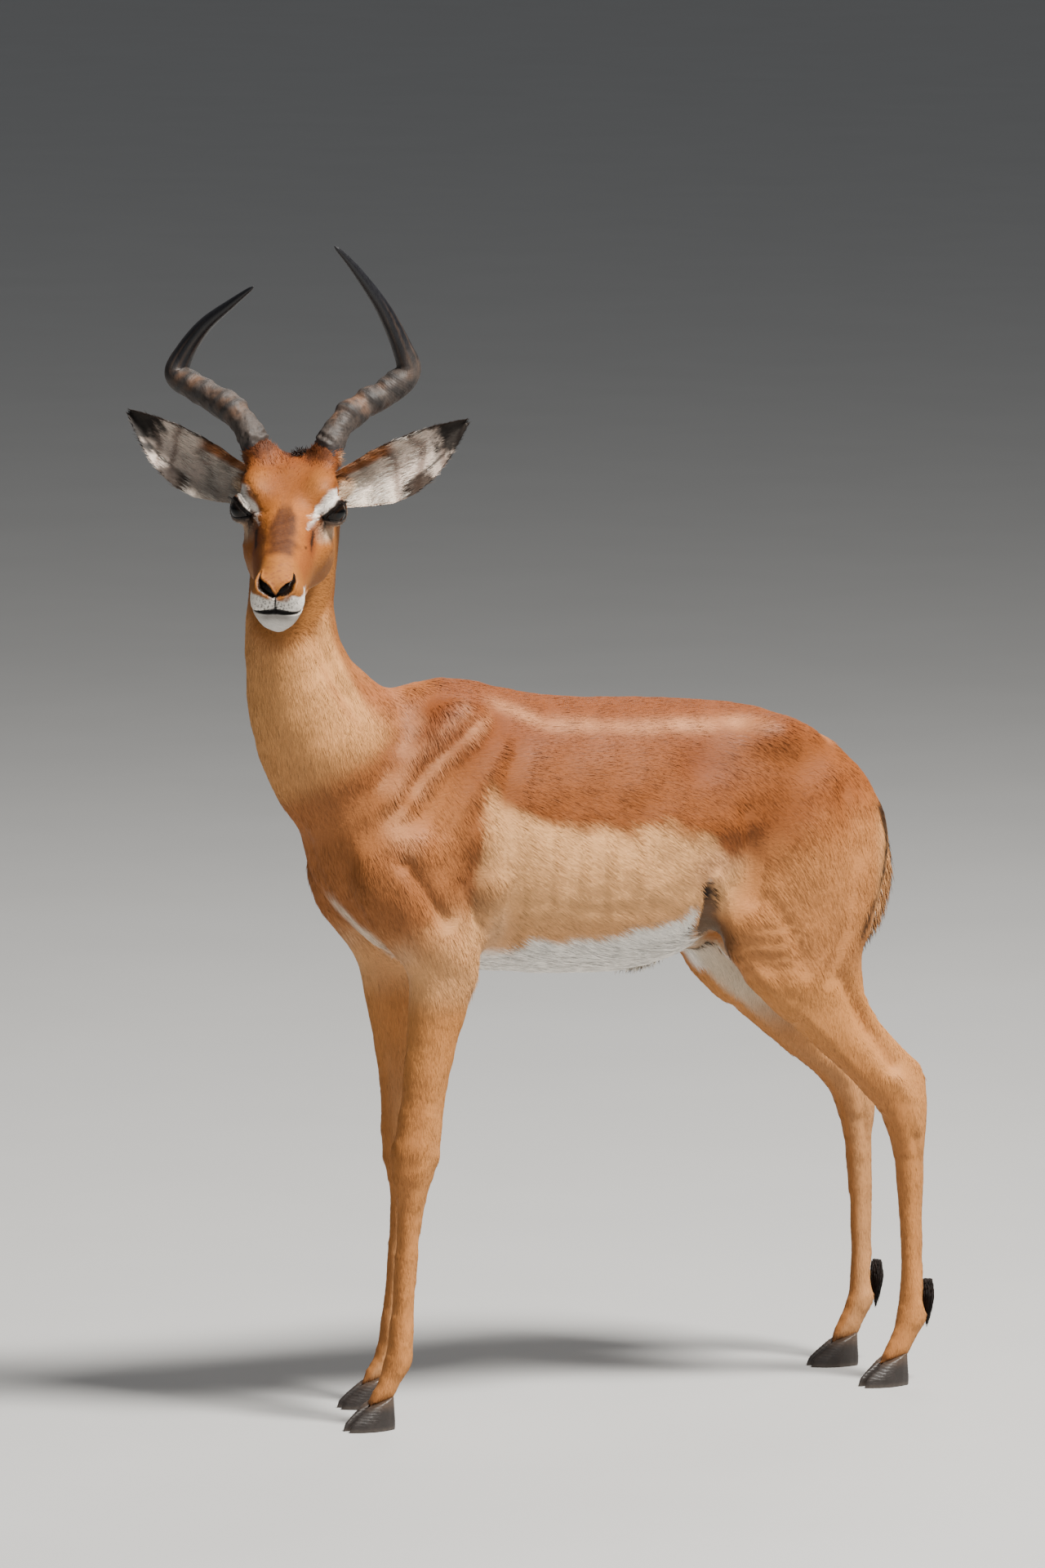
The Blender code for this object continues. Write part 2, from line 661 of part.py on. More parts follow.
def flesh_nodes(flesh):
    """Parts the fused flesh by thin cuts into its named nodes."""
    throat = head_matrix() @ place(-0.010, 0, -0.135)
    head, rest = parted(flesh.data, throat, head_matrix().to_3x3() @ place(0.62, 0, 0.78))
    jaw_nodes(head)
    neck, rest = parted(rest, place(0.375, 0, 0.800), place(0.55, 0, 0.835))
    node("neck", neck, "coat")
    body, limbs = parted(rest, Vector((0, 0, 0.500)), (0, 0, 1))
    trunk, rump = parted(body, place(-0.052), (0, -1, 0))
    node("trunk", trunk, "coat")
    node("rump", rump, "coat")
    for mesh, middle in islands(limbs):
        side = "left" if middle.x > 0 else "right"
        if middle.y < 0:
            names = [f"forearm_{side}", f"fore_cannon_{side}", f"fore_pastern_{side}"]
            leg_nodes(mesh, (0.305, 0.088), names)
        else:
            names = [f"gaskin_{side}", f"hind_cannon_{side}", f"hind_pastern_{side}"]
            leg_nodes(mesh, (0.330, 0.088), names)


def settle_on_floor():
    """Moves the whole model so that the middle of its box stands at the origin."""
    low, high = Vector((9, 9, 9)), Vector((-9, -9, -9))
    for obj in model.objects:
        for vertex in obj.data.vertices:
            low = Vector(map(min, low, vertex.co))
            high = Vector(map(max, high, vertex.co))
    shift = Vector((-(low.x + high.x) / 2, -(low.y + high.y) / 2, -low.z))
    for obj in model.objects:
        obj.data.transform(Matrix.Translation(shift))


clear_scene()
model = collection("impala")
forms = collection("forms")
flesh = fused_flesh()
attached = {}
for side in SIDES:
    for solid, slot in ((horn(side), "horn"), (ear(side), "coat"), (eye(side), "eye"), (tuft(side), "black_hair")):
        attached[solid.name] = (solid, slot)
    for end in ("fore", "hind"):
        for solid in foot(side, end):
            attached[solid.name] = (solid, "hoof")
attached["tail"] = (tail(), "coat")
for name, (solid, slot) in attached.items():
    boolean(flesh, grown(solid, GAP), "DIFFERENCE")
flesh_nodes(flesh)
for name, (solid, slot) in attached.items():
    solid.name = f"{name}_form"
    node(name, solid.data, slot)
settle_on_floor()
for obj in forms.objects:
    obj.hide_render = True
    obj.display_type = "WIRE"
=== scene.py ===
"""Looks of a life-size impala ram: one skin, its coat, horns, eyes and hooves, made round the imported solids."""

import math

import bmesh
import bpy
import numpy as np
from mathutils import Euler, Matrix, Vector
from mathutils.bvhtree import BVHTree


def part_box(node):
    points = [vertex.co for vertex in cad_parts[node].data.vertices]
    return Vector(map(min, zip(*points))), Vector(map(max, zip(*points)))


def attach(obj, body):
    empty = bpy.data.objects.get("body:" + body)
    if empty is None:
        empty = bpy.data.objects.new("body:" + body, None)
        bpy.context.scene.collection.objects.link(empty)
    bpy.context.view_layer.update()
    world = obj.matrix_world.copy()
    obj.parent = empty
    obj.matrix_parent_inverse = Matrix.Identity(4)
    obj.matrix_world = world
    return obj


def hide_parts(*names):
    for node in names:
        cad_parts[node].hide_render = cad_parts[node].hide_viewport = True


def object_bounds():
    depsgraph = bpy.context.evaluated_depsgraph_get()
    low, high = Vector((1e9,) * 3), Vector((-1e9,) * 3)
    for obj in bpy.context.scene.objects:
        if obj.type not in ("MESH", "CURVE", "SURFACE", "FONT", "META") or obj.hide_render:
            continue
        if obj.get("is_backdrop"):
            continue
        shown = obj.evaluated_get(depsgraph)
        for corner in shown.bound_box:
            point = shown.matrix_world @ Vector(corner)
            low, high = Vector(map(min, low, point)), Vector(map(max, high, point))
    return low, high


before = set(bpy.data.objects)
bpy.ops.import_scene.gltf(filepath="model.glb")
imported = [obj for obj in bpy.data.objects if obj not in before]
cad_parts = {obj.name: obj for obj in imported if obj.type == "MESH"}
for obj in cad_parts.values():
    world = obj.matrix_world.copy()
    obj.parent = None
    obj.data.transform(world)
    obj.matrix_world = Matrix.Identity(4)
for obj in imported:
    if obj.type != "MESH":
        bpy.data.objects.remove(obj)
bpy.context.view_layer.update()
rng = np.random.default_rng(41)

SIDES = {"left": 1, "right": -1}

# The head's own frame: where the poll is, and how far the head is tipped, tilted and turned. In it, places are
# given as out from the middle, forward and up from the poll.
POLL = Vector((0.032, -0.459, 1.154))
HEAD_PITCH, HEAD_ROLL, HEAD_YAW = math.radians(18), math.radians(1.6), math.radians(59.4)
EYE = (0.0485, 0.092, -0.045)
EYE_RADIUS = 0.0175
HORN_BASE = (0.037, 0.028, 0.006)
HORN_RADIUS = 0.0182
# Each horn's middle line from its root, as out, back and up, in a frame that only turns with the head.
HORN_CURVES = {
    "left": ((0.000, -0.008, -0.020), (0.012, 0.012, 0.020), (0.036, 0.040, 0.043), (0.068, 0.064, 0.061),
             (0.091, 0.076, 0.084), (0.084, 0.072, 0.112), (0.062, 0.058, 0.160), (0.032, 0.038, 0.206),
             (0.010, 0.022, 0.233)),
    "right": ((0.000, -0.008, -0.020), (0.019, 0.014, 0.024), (0.052, 0.042, 0.048), (0.084, 0.064, 0.064),
              (0.104, 0.076, 0.078), (0.094, 0.076, 0.104), (0.070, 0.064, 0.136), (0.037, 0.046, 0.163),
              (0.011, 0.030, 0.183)),
}
EAR_LENGTH, EAR_HALF_WIDTH, EAR_SAG = 0.174, 0.0335, 0.0115
EAR_BASE = (0.046, 0.010, -0.054)
EAR_LIFT = {"left": 27, "right": 29.5}
EAR_SWEEP = 12
# How wide an ear is along its length, as shares of its length and of its greatest half width.
EAR_WIDTHS = ((0.0, 0.6), (0.12, 0.75), (0.3, 0.97), (0.45, 1.0), (0.62, 0.88), (0.8, 0.58), (0.93, 0.27),
              (1.0, 0.08))


def place(forward, out, up):
    return Vector((out, -forward, up))


HEAD = Matrix.Translation(POLL) @ Euler((HEAD_PITCH, HEAD_ROLL, HEAD_YAW)).to_matrix().to_4x4()
HEAD_TURN = Matrix.Rotation(HEAD_YAW, 3, "Z")
low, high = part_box("eye_left")
SHIFT = (low + high) / 2 - HEAD @ place(EYE[1], EYE[0], EYE[2])
SHIFT.z = 0.0
shift = np.array(SHIFT)


# The camera: its turn and tip, how far away it is and how high a view it sees, and where it aims.
CAMERA_TURN, CAMERA_TIP = math.radians(27), math.radians(7)
CAMERA_AWAY, CAMERA_SEES = 14.0, 1.859
AIM_LEFT, AIM_UP = 0.132, 0.724
SENSOR = 36


def add_camera():
    turn, tip = CAMERA_TURN, CAMERA_TIP
    aside = Vector((math.cos(turn), -math.sin(turn), 0))
    across = Vector((math.sin(turn), math.cos(turn), 0))
    back = aside * math.cos(tip) + Vector((0, 0, math.sin(tip)))
    up = Vector((0, 0, math.cos(tip))) - aside * math.sin(tip)
    data = bpy.data.cameras.new("camera")
    data.sensor_width = SENSOR
    data.lens = SENSOR * CAMERA_AWAY / CAMERA_SEES
    data.clip_end = 300
    camera = bpy.data.objects.new("camera", data)
    bpy.context.scene.collection.objects.link(camera)
    spot = SHIFT - across * AIM_LEFT + up * AIM_UP + back * CAMERA_AWAY
    camera.matrix_world = Matrix.Translation(spot) @ Matrix((across, up, back)).transposed().to_4x4()
    bpy.context.scene.camera = camera


add_camera()


# Small tools.
def step(low, high, value):
    """0 below low, 1 above high, and a smooth rise between."""
    t = np.clip((value - low) / (high - low), 0, 1)
    return t * t * (3 - 2 * t)


def unit(vectors):
    return vectors / np.maximum(np.linalg.norm(vectors, axis=-1, keepdims=True), 1e-9)


def dot(a, b):
    return (a * b).sum(-1)


def bell(*pairs):
    """1 in the middle, falling softly away from it. Distances and their reaches come in turn."""
    total = 0
    for away, reach in zip(pairs[::2], pairs[1::2]):
        total = total + (away / reach) ** 2
    return np.exp(-total)


def read(table, value):
    """The second column of a table where its first one has this value, in between its rows too."""
    return np.interp(value, *zip(*table))


def wobble(points, size, seed):
    """A smooth random field, about -1 to 1, with lumps about size across."""
    g = np.random.default_rng(seed)
    total = np.zeros(len(points))
    for _ in range(7):
        way = g.normal(size=3)
        way *= 2 * math.pi / (size * 1.7) * (0.6 + 0.8 * g.random()) / np.linalg.norm(way)
        total += np.sin(points @ way + g.random() * 2 * math.pi)
    return total / 2.6


def shade(red, green, blue):
    """A colour given as it shows on a screen, 0 to 255, as light."""
    c = np.array([red, green, blue]) / 255
    return np.where(c <= 0.04045, c / 12.92, ((c + 0.055) / 1.055) ** 2.4)


def smooth_rows(rows, steps):
    """Points on a smooth curve through the rows."""
    p = np.array([rows[0], *rows, rows[-1]], float)
    made = []
    for i in range(1, len(p) - 2):
        a, b, c, d = p[i - 1:i + 3]
        for k in range(steps):
            t = k / steps
            made.append(0.5 * (2 * b + (c - a) * t + (2 * a - 5 * b + 4 * c - d) * t * t
                               + (3 * b - a - 3 * c + d) * t ** 3))
    made.append(p[-2])
    return np.array(made)


def along_line(points, line):
    """How far each point is from a bent line, and how far along it the nearest place is, 0 to 1."""
    line = np.array(line, float)
    ends = np.linalg.norm(np.diff(line, axis=0), axis=1)
    total = ends.sum()
    best = np.full(len(points), 1e9)
    share = np.zeros(len(points))
    start = 0.0
    for a, b, length in zip(line[:-1], line[1:], ends):
        t = np.clip((points - a) @ (b - a) / length ** 2, 0, 1)
        away = np.linalg.norm(points - a - t[:, None] * (b - a), axis=1)
        nearer = away < best
        best = np.where(nearer, away, best)
        share = np.where(nearer, (start + t * length) / total, share)
        start += length
    return best, share


def head_local(points):
    """Out to the left, forward and up from the poll, in the head's own frame."""
    inside = np.array(HEAD.inverted())
    p = points @ inside[:3, :3].T + inside[:3, 3]
    return p[:, 0], -p[:, 1], p[:, 2]


def to_head(vectors):
    return vectors @ np.array(HEAD.to_3x3().inverted()).T * np.array([1, -1, 1])


def from_head(vectors):
    return (np.asarray(vectors) * np.array([1, -1, 1])) @ np.array(HEAD.to_3x3()).T


def head_place(local):
    """Points of the head's own frame in the animal's frame."""
    return from_head(local) + np.array(POLL)


def turned(vectors):
    """Ways and offsets turned with the head, but not tipped with it."""
    return vectors @ np.array(HEAD_TURN).T


def make_mesh(name, points, faces, shift_it=True):
    """A mesh from points in the animal's frame and one array of faces with the same number of corners."""
    mesh = bpy.data.meshes.new(name)
    points = np.asarray(points, np.float32)
    faces = np.asarray(faces, np.int32)
    if shift_it:
        points = points + shift.astype(np.float32)
    mesh.vertices.add(len(points))
    mesh.vertices.foreach_set("co", points.ravel())
    mesh.loops.add(faces.size)
    mesh.loops.foreach_set("vertex_index", faces.ravel())
    mesh.polygons.add(len(faces))
    mesh.polygons.foreach_set("loop_start", np.arange(0, faces.size, faces.shape[1], dtype=np.int32))
    mesh.update(calc_edges=True)
    return mesh


def set_smooth(mesh):
    mesh.polygons.foreach_set("use_smooth", np.full(len(mesh.polygons), True))
    mesh.update()


def set_vectors(mesh, name, values):
    layer = mesh.attributes.new(name, "FLOAT_VECTOR", "POINT")
    layer.data.foreach_set("vector", np.asarray(values, np.float32).ravel())


def piece(name, mesh, material, replaced=()):
    made = bpy.data.objects.new(name, mesh)
    bpy.context.scene.collection.objects.link(made)
    mesh.materials.append(material)
    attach(made, "root")
    if replaced:
        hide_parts(*replaced)
    return made


def node_mesh(name):
    """Points in the animal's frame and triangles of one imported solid, with its shared corners joined."""
    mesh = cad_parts[name].data
    mesh.calc_loop_triangles()
    points = np.empty(len(mesh.vertices) * 3, np.float32)
    mesh.vertices.foreach_get("co", points)
    points = points.reshape(-1, 3).astype(float) - shift
    faces = np.empty(len(mesh.loop_triangles) * 3, np.int32)
    mesh.loop_triangles.foreach_get("vertices", faces)
    keys = np.round(points * 1e5).astype(np.int64)
    _, first, where = np.unique(keys, axis=0, return_index=True, return_inverse=True)
    faces = where.ravel()[faces].reshape(-1, 3)
    keep = (faces[:, 0] != faces[:, 1]) & (faces[:, 1] != faces[:, 2]) & (faces[:, 0] != faces[:, 2])
    return points[first], faces[keep]


def point_normals(points, triangles):
    a, b, c = (points[triangles[:, k]] for k in range(3))
    flat = np.cross(b - a, c - a)
    total = np.zeros_like(points)
    for k in range(3):
        for axis in range(3):
            total[:, axis] += np.bincount(triangles[:, k], flat[:, axis], len(points))
    return unit(total)


def read_mesh(mesh):
    points = np.empty(len(mesh.vertices) * 3, np.float32)
    mesh.vertices.foreach_get("co", points)
    mesh.calc_loop_triangles()
    triangles = np.empty(len(mesh.loop_triangles) * 3, np.int32)
    mesh.loop_triangles.foreach_get("vertices", triangles)
    edges = np.empty(len(mesh.edges) * 2, np.int32)
    mesh.edges.foreach_get("vertices", edges)
    return points.reshape(-1, 3).astype(float), triangles.reshape(-1, 3), edges.reshape(-1, 2)


def remeshed(mesh, voxel):
    """A new even mesh over the same closed shape."""
    temp = bpy.data.objects.new("temp", mesh)
    bpy.context.scene.collection.objects.link(temp)
    change = temp.modifiers.new("remesh", "REMESH")
    change.mode = "VOXEL"
    change.voxel_size = voxel
    graph = bpy.context.evaluated_depsgraph_get()
    made = bpy.data.meshes.new_from_object(temp.evaluated_get(graph))
    bpy.data.objects.remove(temp)
    return made


class Net:
    """Points joined by edges, for smoothing and spreading values over a surface."""

    def __init__(self, count, edges):
        self.count = count
        self.a, self.b = edges[:, 0], edges[:, 1]
        self.near = np.maximum(np.bincount(self.a, minlength=count) + np.bincount(self.b, minlength=count), 1)

    def mean(self, values):
        wide = values.reshape(self.count, -1)
        made = np.empty_like(wide)
        for k in range(wide.shape[1]):
            there = np.bincount(self.a, wide[self.b, k], self.count)
            back = np.bincount(self.b, wide[self.a, k], self.count)
            made[:, k] = (there + back) / self.near
        return made.reshape(values.shape)

    def spread(self, values, times, share=0.6):
        for _ in range(times):
            values = values + share * (self.mean(values) - values)
        return values

    def smooth(self, points, times, part=None):
        """Takes out facets without shrinking the shape."""
        part = 1.0 if part is None else part[:, None]
        for _ in range(times):
            points = points + part * 0.55 * (self.mean(points) - points)
            points = points - part * 0.57 * (self.mean(points) - points)
        return points


# The skin: one net over all the flesh.
LIMBS = [f"{part}_{side}" for side in SIDES
         for part in ("forearm", "fore_cannon", "fore_pastern", "gaskin", "hind_cannon", "hind_pastern")]
FLESH = ["head", "lower_jaw", "neck", "trunk", "rump", "tail", *LIMBS]
GROUPS = ("head", "neck", "trunk", "rump", "tail", "fore", "hind")
NET_SIZE = 0.0066
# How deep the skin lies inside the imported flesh, by group.
COAT_DEPTH = np.array([0.0010, 0.0022, 0.0022, 0.0020, 0.0030, 0.0014, 0.0014])
DEEPEST_ERROR = 0.006


def group_of(node):
    if node in ("head", "lower_jaw"):
        return 0
    if node in GROUPS:
        return GROUPS.index(node)
    return 5 if node.startswith("fore") else 6


def plugs():
    """Small balls of flesh that fill the sockets where horns and ears are set in."""
    made = []
    for sign in SIDES.values():
        horn = HEAD @ place(HORN_BASE[1], sign * HORN_BASE[0], HORN_BASE[2])
        rise = HEAD_TURN @ Vector((sign * 0.15, 0.10, 1.0))
        ear = HEAD @ place(EAR_BASE[1], sign * EAR_BASE[0], EAR_BASE[2])
        aside = HEAD_TURN @ Vector((sign, 0.1, 0.4))
        out, forward, up = HORN_BASE
        front = HEAD @ place(forward + 0.0065, sign * (out + 0.002), up - 0.0035)
        outer = HEAD @ place(forward + 0.0078, sign * (out + 0.0068), up - 0.0080)
        made += [(horn - rise * 0.0095, 0.0203), (front, 0.0165), (outer, 0.0158), (ear, 0.0170),
                 (ear + aside * 0.009, 0.0125)]
    return [ball(*b) for b in made]


def ball(middle, radius):
    work = bmesh.new()
    bmesh.ops.create_icosphere(work, subdivisions=3, radius=radius)
    points = np.array([v.co for v in work.verts]) + np.array(middle)
    faces = np.array([[v.index for v in f.verts] for f in work.faces])
    work.free()
    return points, faces


def joined(solids):
    """The points and faces of several solids in one pair of arrays."""
    points, faces, count = [], [], 0
    for p, f in solids:
        points.append(p)
        faces.append(f + count)
        count += len(p)
    return np.concatenate(points), np.concatenate(faces)


def base_shell():
    """All the flesh as one closed net, with the thin cuts between its nodes closed up."""
    solids = [node_mesh(name) for name in [*FLESH, "eye_left", "eye_right"]] + plugs()
    points, faces = joined([(p + 0.0006 * point_normals(p, f), f) for p, f in solids])
    return remeshed(make_mesh("shell", points, faces, shift_it=False), NET_SIZE)


def flesh_tree():
    """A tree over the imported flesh, with the group of each face."""
    solids = [(node_mesh(name), group_of(name)) for name in FLESH] + [(b, 0) for b in plugs()]
    points, faces = joined([solid for solid, _ in solids])
    groups = np.concatenate([np.full(len(solid[1]), group) for solid, group in solids])
    return BVHTree.FromPolygons([Vector(p) for p in points], faces.tolist()), groups


def refined(mesh, wanted):
    """The mesh with every face whose middle is wanted cut in four."""
    work = bmesh.new()
    work.from_mesh(mesh)
    middles = np.array([f.calc_center_median() for f in work.faces])
    chosen = wanted(middles)
    edges = {e for f, yes in zip(work.faces, chosen) if yes for e in f.edges}
    bmesh.ops.subdivide_edges(work, edges=list(edges), cuts=1, use_grid_fill=True)
    bmesh.ops.triangulate(work, faces=[f for f in work.faces if len(f.verts) > 4])
    work.to_mesh(mesh)
    work.free()
    return mesh


def eye_frame(side):
    """The eyeball's middle and its axes in the head's frame: outward, along the lids inward, and up."""
    across, rise, tilt = math.radians(50), math.radians(6), math.radians(10)
    level = math.cos(rise)
    axis = np.array([math.sin(across) * level, math.cos(across) * level, math.sin(rise)])
    front = np.array([-math.cos(across), math.sin(across), 0.0])
    up = np.cross(front, axis)
    if up[2] < 0:
        up = -up
    along = front * math.cos(tilt) - up * math.sin(tilt)
    rise = up * math.cos(tilt) + front * math.sin(tilt)
    flip = np.array([SIDES[side], 1, 1])
    middle = np.array([EYE[0], EYE[1], EYE[2] + 0.0025])
    return middle * flip, axis * flip, along * flip, rise * flip


# The lids' opening: how far it reaches to the inner and outer corner, and how high and low at its middle.
LID_INNER, LID_OUTER, LID_UPPER, LID_LOWER = 0.0222, 0.0165, 0.0096, 0.0086


def lid_opening(local, side):
    """How far inside the lids' opening each point is, and its distance, way and place seen from the eye."""
    middle, axis, along, rise = eye_frame(side)
    away = local - middle
    far = np.linalg.norm(away, axis=1)
    way = away / np.maximum(far, 1e-9)[:, None]
    x = np.arctan2(way @ along, way @ axis) * EYE_RADIUS
    y = np.arcsin(np.clip(way @ rise, -1, 1)) * EYE_RADIUS
    t = x / np.where(x > 0, LID_INNER, LID_OUTER)
    round_ = 1 - t ** 2
    bow = np.sign(round_) * np.abs(round_) ** 0.85
    straight = np.sign(round_) * np.abs(round_) ** np.where(x > 0, 1.30, 0.85)
    upper = LID_UPPER * bow * (1 - 0.42 * np.clip(t, -1, 1))
    lower = -LID_LOWER * straight * (1 - 0.52 * np.clip(t, -1, 1))
    inside = np.minimum(upper - y, y - lower)
    return np.clip(inside, -0.05, 0.05), far, way, x, y


# Each nostril's middle line from its inner end to the hook at its top, and half its width along that.
NOSTRIL = ((0.0030, 0.2640, -0.0752), (0.0095, 0.2635, -0.0705), (0.0165, 0.2585, -0.0655),
           (0.0203, 0.2500, -0.0615), (0.0202, 0.2400, -0.0585))
NOSTRIL_HALF = ((0, 0.0026), (0.25, 0.0050), (0.50, 0.0056), (0.72, 0.0028), (1, 0.0011))
NOSTRIL_INWARD = np.array([-0.45, -0.85, -0.25]) / np.linalg.norm([0.45, 0.85, 0.25])
MOUTH_UP, MOUTH_CORNER = -0.0968, 0.176
# Added to a distance where its mark doesn't reach.
NOT_HERE = 0.1


def face_marks(points):
    """Distances that both the shape and the colours of the face are made from."""
    out, forward, up = head_local(points)
    side = np.abs(out)
    local = np.stack([side, forward, up], 1)
    marks = {"out": out, "side": side, "forward": forward, "up": up, "local": local}
    marks["lids"], marks["eye_far"], marks["eye_way"], _, marks["eye_y"] = lid_opening(local, "left")
    line = np.array(NOSTRIL)
    near, share = along_line(local - (local @ NOSTRIL_INWARD)[:, None] * NOSTRIL_INWARD,
                             line - (line @ NOSTRIL_INWARD)[:, None] * NOSTRIL_INWARD)
    marks["nostril"] = near - read(NOSTRIL_HALF, share) + NOT_HERE * (forward < 0.222)
    reach = np.maximum(-0.0955 - up, 0) + np.maximum(up + 0.0745, 0)
    marks["philtrum"] = np.hypot(side, reach) + NOT_HERE * (forward < 0.24)
    ahead = step(MOUTH_CORNER - 0.006, MOUTH_CORNER + 0.006, forward)
    marks["mouth_up"] = MOUTH_UP + 0.0028 * bell(side, 0.011) - 0.0034 * step(0.012, 0.030, side)
    marks["mouth"] = np.abs(up - marks["mouth_up"]) + 0.05 * (1 - ahead)
    return marks


# Swells and hollows of the body on both sides: forward, out, up, reach along each of these, and height.
SWELLS = (
    (0.334, 0.100, 0.690, 0.024, 0.060, 0.026, 0.0070),    # point of the shoulder
    (0.260, 0.105, 0.690, 0.034, 0.060, 0.032, 0.0060),    # muscle above the elbow
    (0.246, 0.100, 0.630, 0.019, 0.060, 0.022, 0.0085),    # elbow
    (0.216, 0.100, 0.600, 0.012, 0.060, 0.036, -0.0060),   # armpit fold behind the elbow
    (0.352, 0.090, 0.625, 0.022, 0.060, 0.034, 0.0045),    # muscle in front of the chest
    (0.282, 0.105, 0.560, 0.030, 0.060, 0.022, 0.0040),    # muscle below the elbow
    (0.166, 0.120, 0.650, 0.008, 0.060, 0.055, 0.0013),    # ribs
    (0.132, 0.120, 0.645, 0.008, 0.060, 0.055, 0.0014),
    (0.098, 0.120, 0.645, 0.008, 0.060, 0.055, 0.0014),
    (0.062, 0.120, 0.650, 0.008, 0.060, 0.055, 0.0012),
    (-0.044, 0.100, 0.762, 0.044, 0.060, 0.036, -0.0085),  # hollow of the flank
    (-0.075, 0.108, 0.690, 0.040, 0.060, 0.018, 0.0045),   # belly muscle
    (-0.000, 0.115, 0.690, 0.050, 0.060, 0.024, 0.0030),
    (0.060, 0.100, 0.600, 0.070, 0.060, 0.014, -0.0020),
    (-0.140, 0.085, 0.792, 0.034, 0.060, 0.026, 0.0040),   # point of the hip
    (-0.176, 0.085, 0.765, 0.020, 0.060, 0.034, -0.0018),
    (-0.235, 0.085, 0.775, 0.032, 0.060, 0.028, 0.0028),
    (-0.180, 0.112, 0.655, 0.036, 0.060, 0.050, 0.0055),   # thigh
    (-0.095, 0.100, 0.570, 0.020, 0.060, 0.026, 0.0060),   # stifle
    (-0.120, 0.105, 0.520, 0.018, 0.060, 0.014, -0.0036),
    (-0.160, 0.105, 0.490, 0.032, 0.060, 0.022, 0.0045),   # calf
)
# Ridges and furrows that follow a line on both sides: forward and up along it, half its width, and its height.
RIDGES = (
    (((0.225, 0.830), (0.300, 0.780), (0.345, 0.725)), 0.0120, 0.0026),   # ridges of the shoulder blade
    (((0.265, 0.835), (0.325, 0.785), (0.362, 0.735)), 0.0090, 0.0018),
    (((0.215, 0.790), (0.262, 0.740), (0.295, 0.690)), 0.0110, 0.0018),
    (((0.196, 0.790), (0.222, 0.735), (0.226, 0.660)), 0.0160, -0.0034),  # furrow behind the shoulder
    (((0.246, 0.825), (0.312, 0.778), (0.352, 0.728)), 0.0070, -0.0016),
    (((0.352, 0.668), (0.330, 0.634), (0.302, 0.598)), 0.0100, -0.0070),  # furrow before the elbow
    (((0.280, 0.640), (0.262, 0.602), (0.236, 0.580)), 0.0060, -0.0030),
    (((-0.088, 0.700), (-0.105, 0.650), (-0.100, 0.600)), 0.0110, -0.0045),  # front of the thigh
    (((-0.225, 0.720), (-0.236, 0.640), (-0.226, 0.560), (-0.205, 0.500)), 0.0100, -0.0028),
    (((-0.262, 0.700), (-0.270, 0.620), (-0.255, 0.550)), 0.0110, 0.0018),
    (((-0.120, 0.600), (-0.150, 0.560), (-0.170, 0.510)), 0.0070, -0.0028),
    (((-0.080, 0.545), (-0.125, 0.500), (-0.165, 0.455)), 0.0060, 0.0030),
)
# The same for the lower thigh and the hock.
HIND_RIDGES = (
    (((-0.225, 0.500), (-0.262, 0.440), (-0.300, 0.385)), 0.0095, -0.0075),  # between shin and heel cord
    (((-0.300, 0.375), (-0.322, 0.345), (-0.330, 0.310)), 0.008, 0.0032),    # bones of the hock
    (((-0.160, 0.470), (-0.245, 0.390), (-0.290, 0.335)), 0.007, 0.0026),    # shin
)
# The notch between flank and thigh, from its top down, and the rim behind it: forward and up.
GROIN = ((-0.041, 0.618), (-0.048, 0.592), (-0.060, 0.560), (-0.066, 0.540))
GROIN_RIM = ((-0.052, 0.630), (-0.070, 0.600), (-0.090, 0.560))

# How far forward the middle of each leg is at some heights, and how far out the middle of a pair is.
LEG_LINES = {
    "fore_left": ((0.024, 0.376), (0.076, 0.346), (0.315, 0.325), (0.530, 0.290), (0.700, 0.310)),
    "fore_right": ((0.024, 0.314), (0.076, 0.284), (0.315, 0.266), (0.530, 0.284), (0.700, 0.304)),
    "hind": ((0.024, -0.305), (0.050, -0.319), (0.098, -0.335), (0.270, -0.329), (0.340, -0.317),
             (0.405, -0.256), (0.480, -0.188), (0.555, -0.179), (0.700, -0.190)),
}
FORE_OUT, HIND_OUT = 0.070, 0.076


def limb_marks(points, fore):
    """For points on the legs: how far each is before its leg's middle line, and how far out from it."""
    forward, out, up = -points[:, 1], points[:, 0], points[:, 2]
    fore_left, fore_right, hind = (read(line, up) for line in LEG_LINES.values())
    hind_right = hind - 0.014 * step(0.45, 0.34, up)
    middle = np.where(fore, np.where(out > 0, fore_left, fore_right), np.where(out > 0, hind, hind_right))
    return forward - middle, np.abs(out) - np.where(fore, FORE_OUT, HIND_OUT)


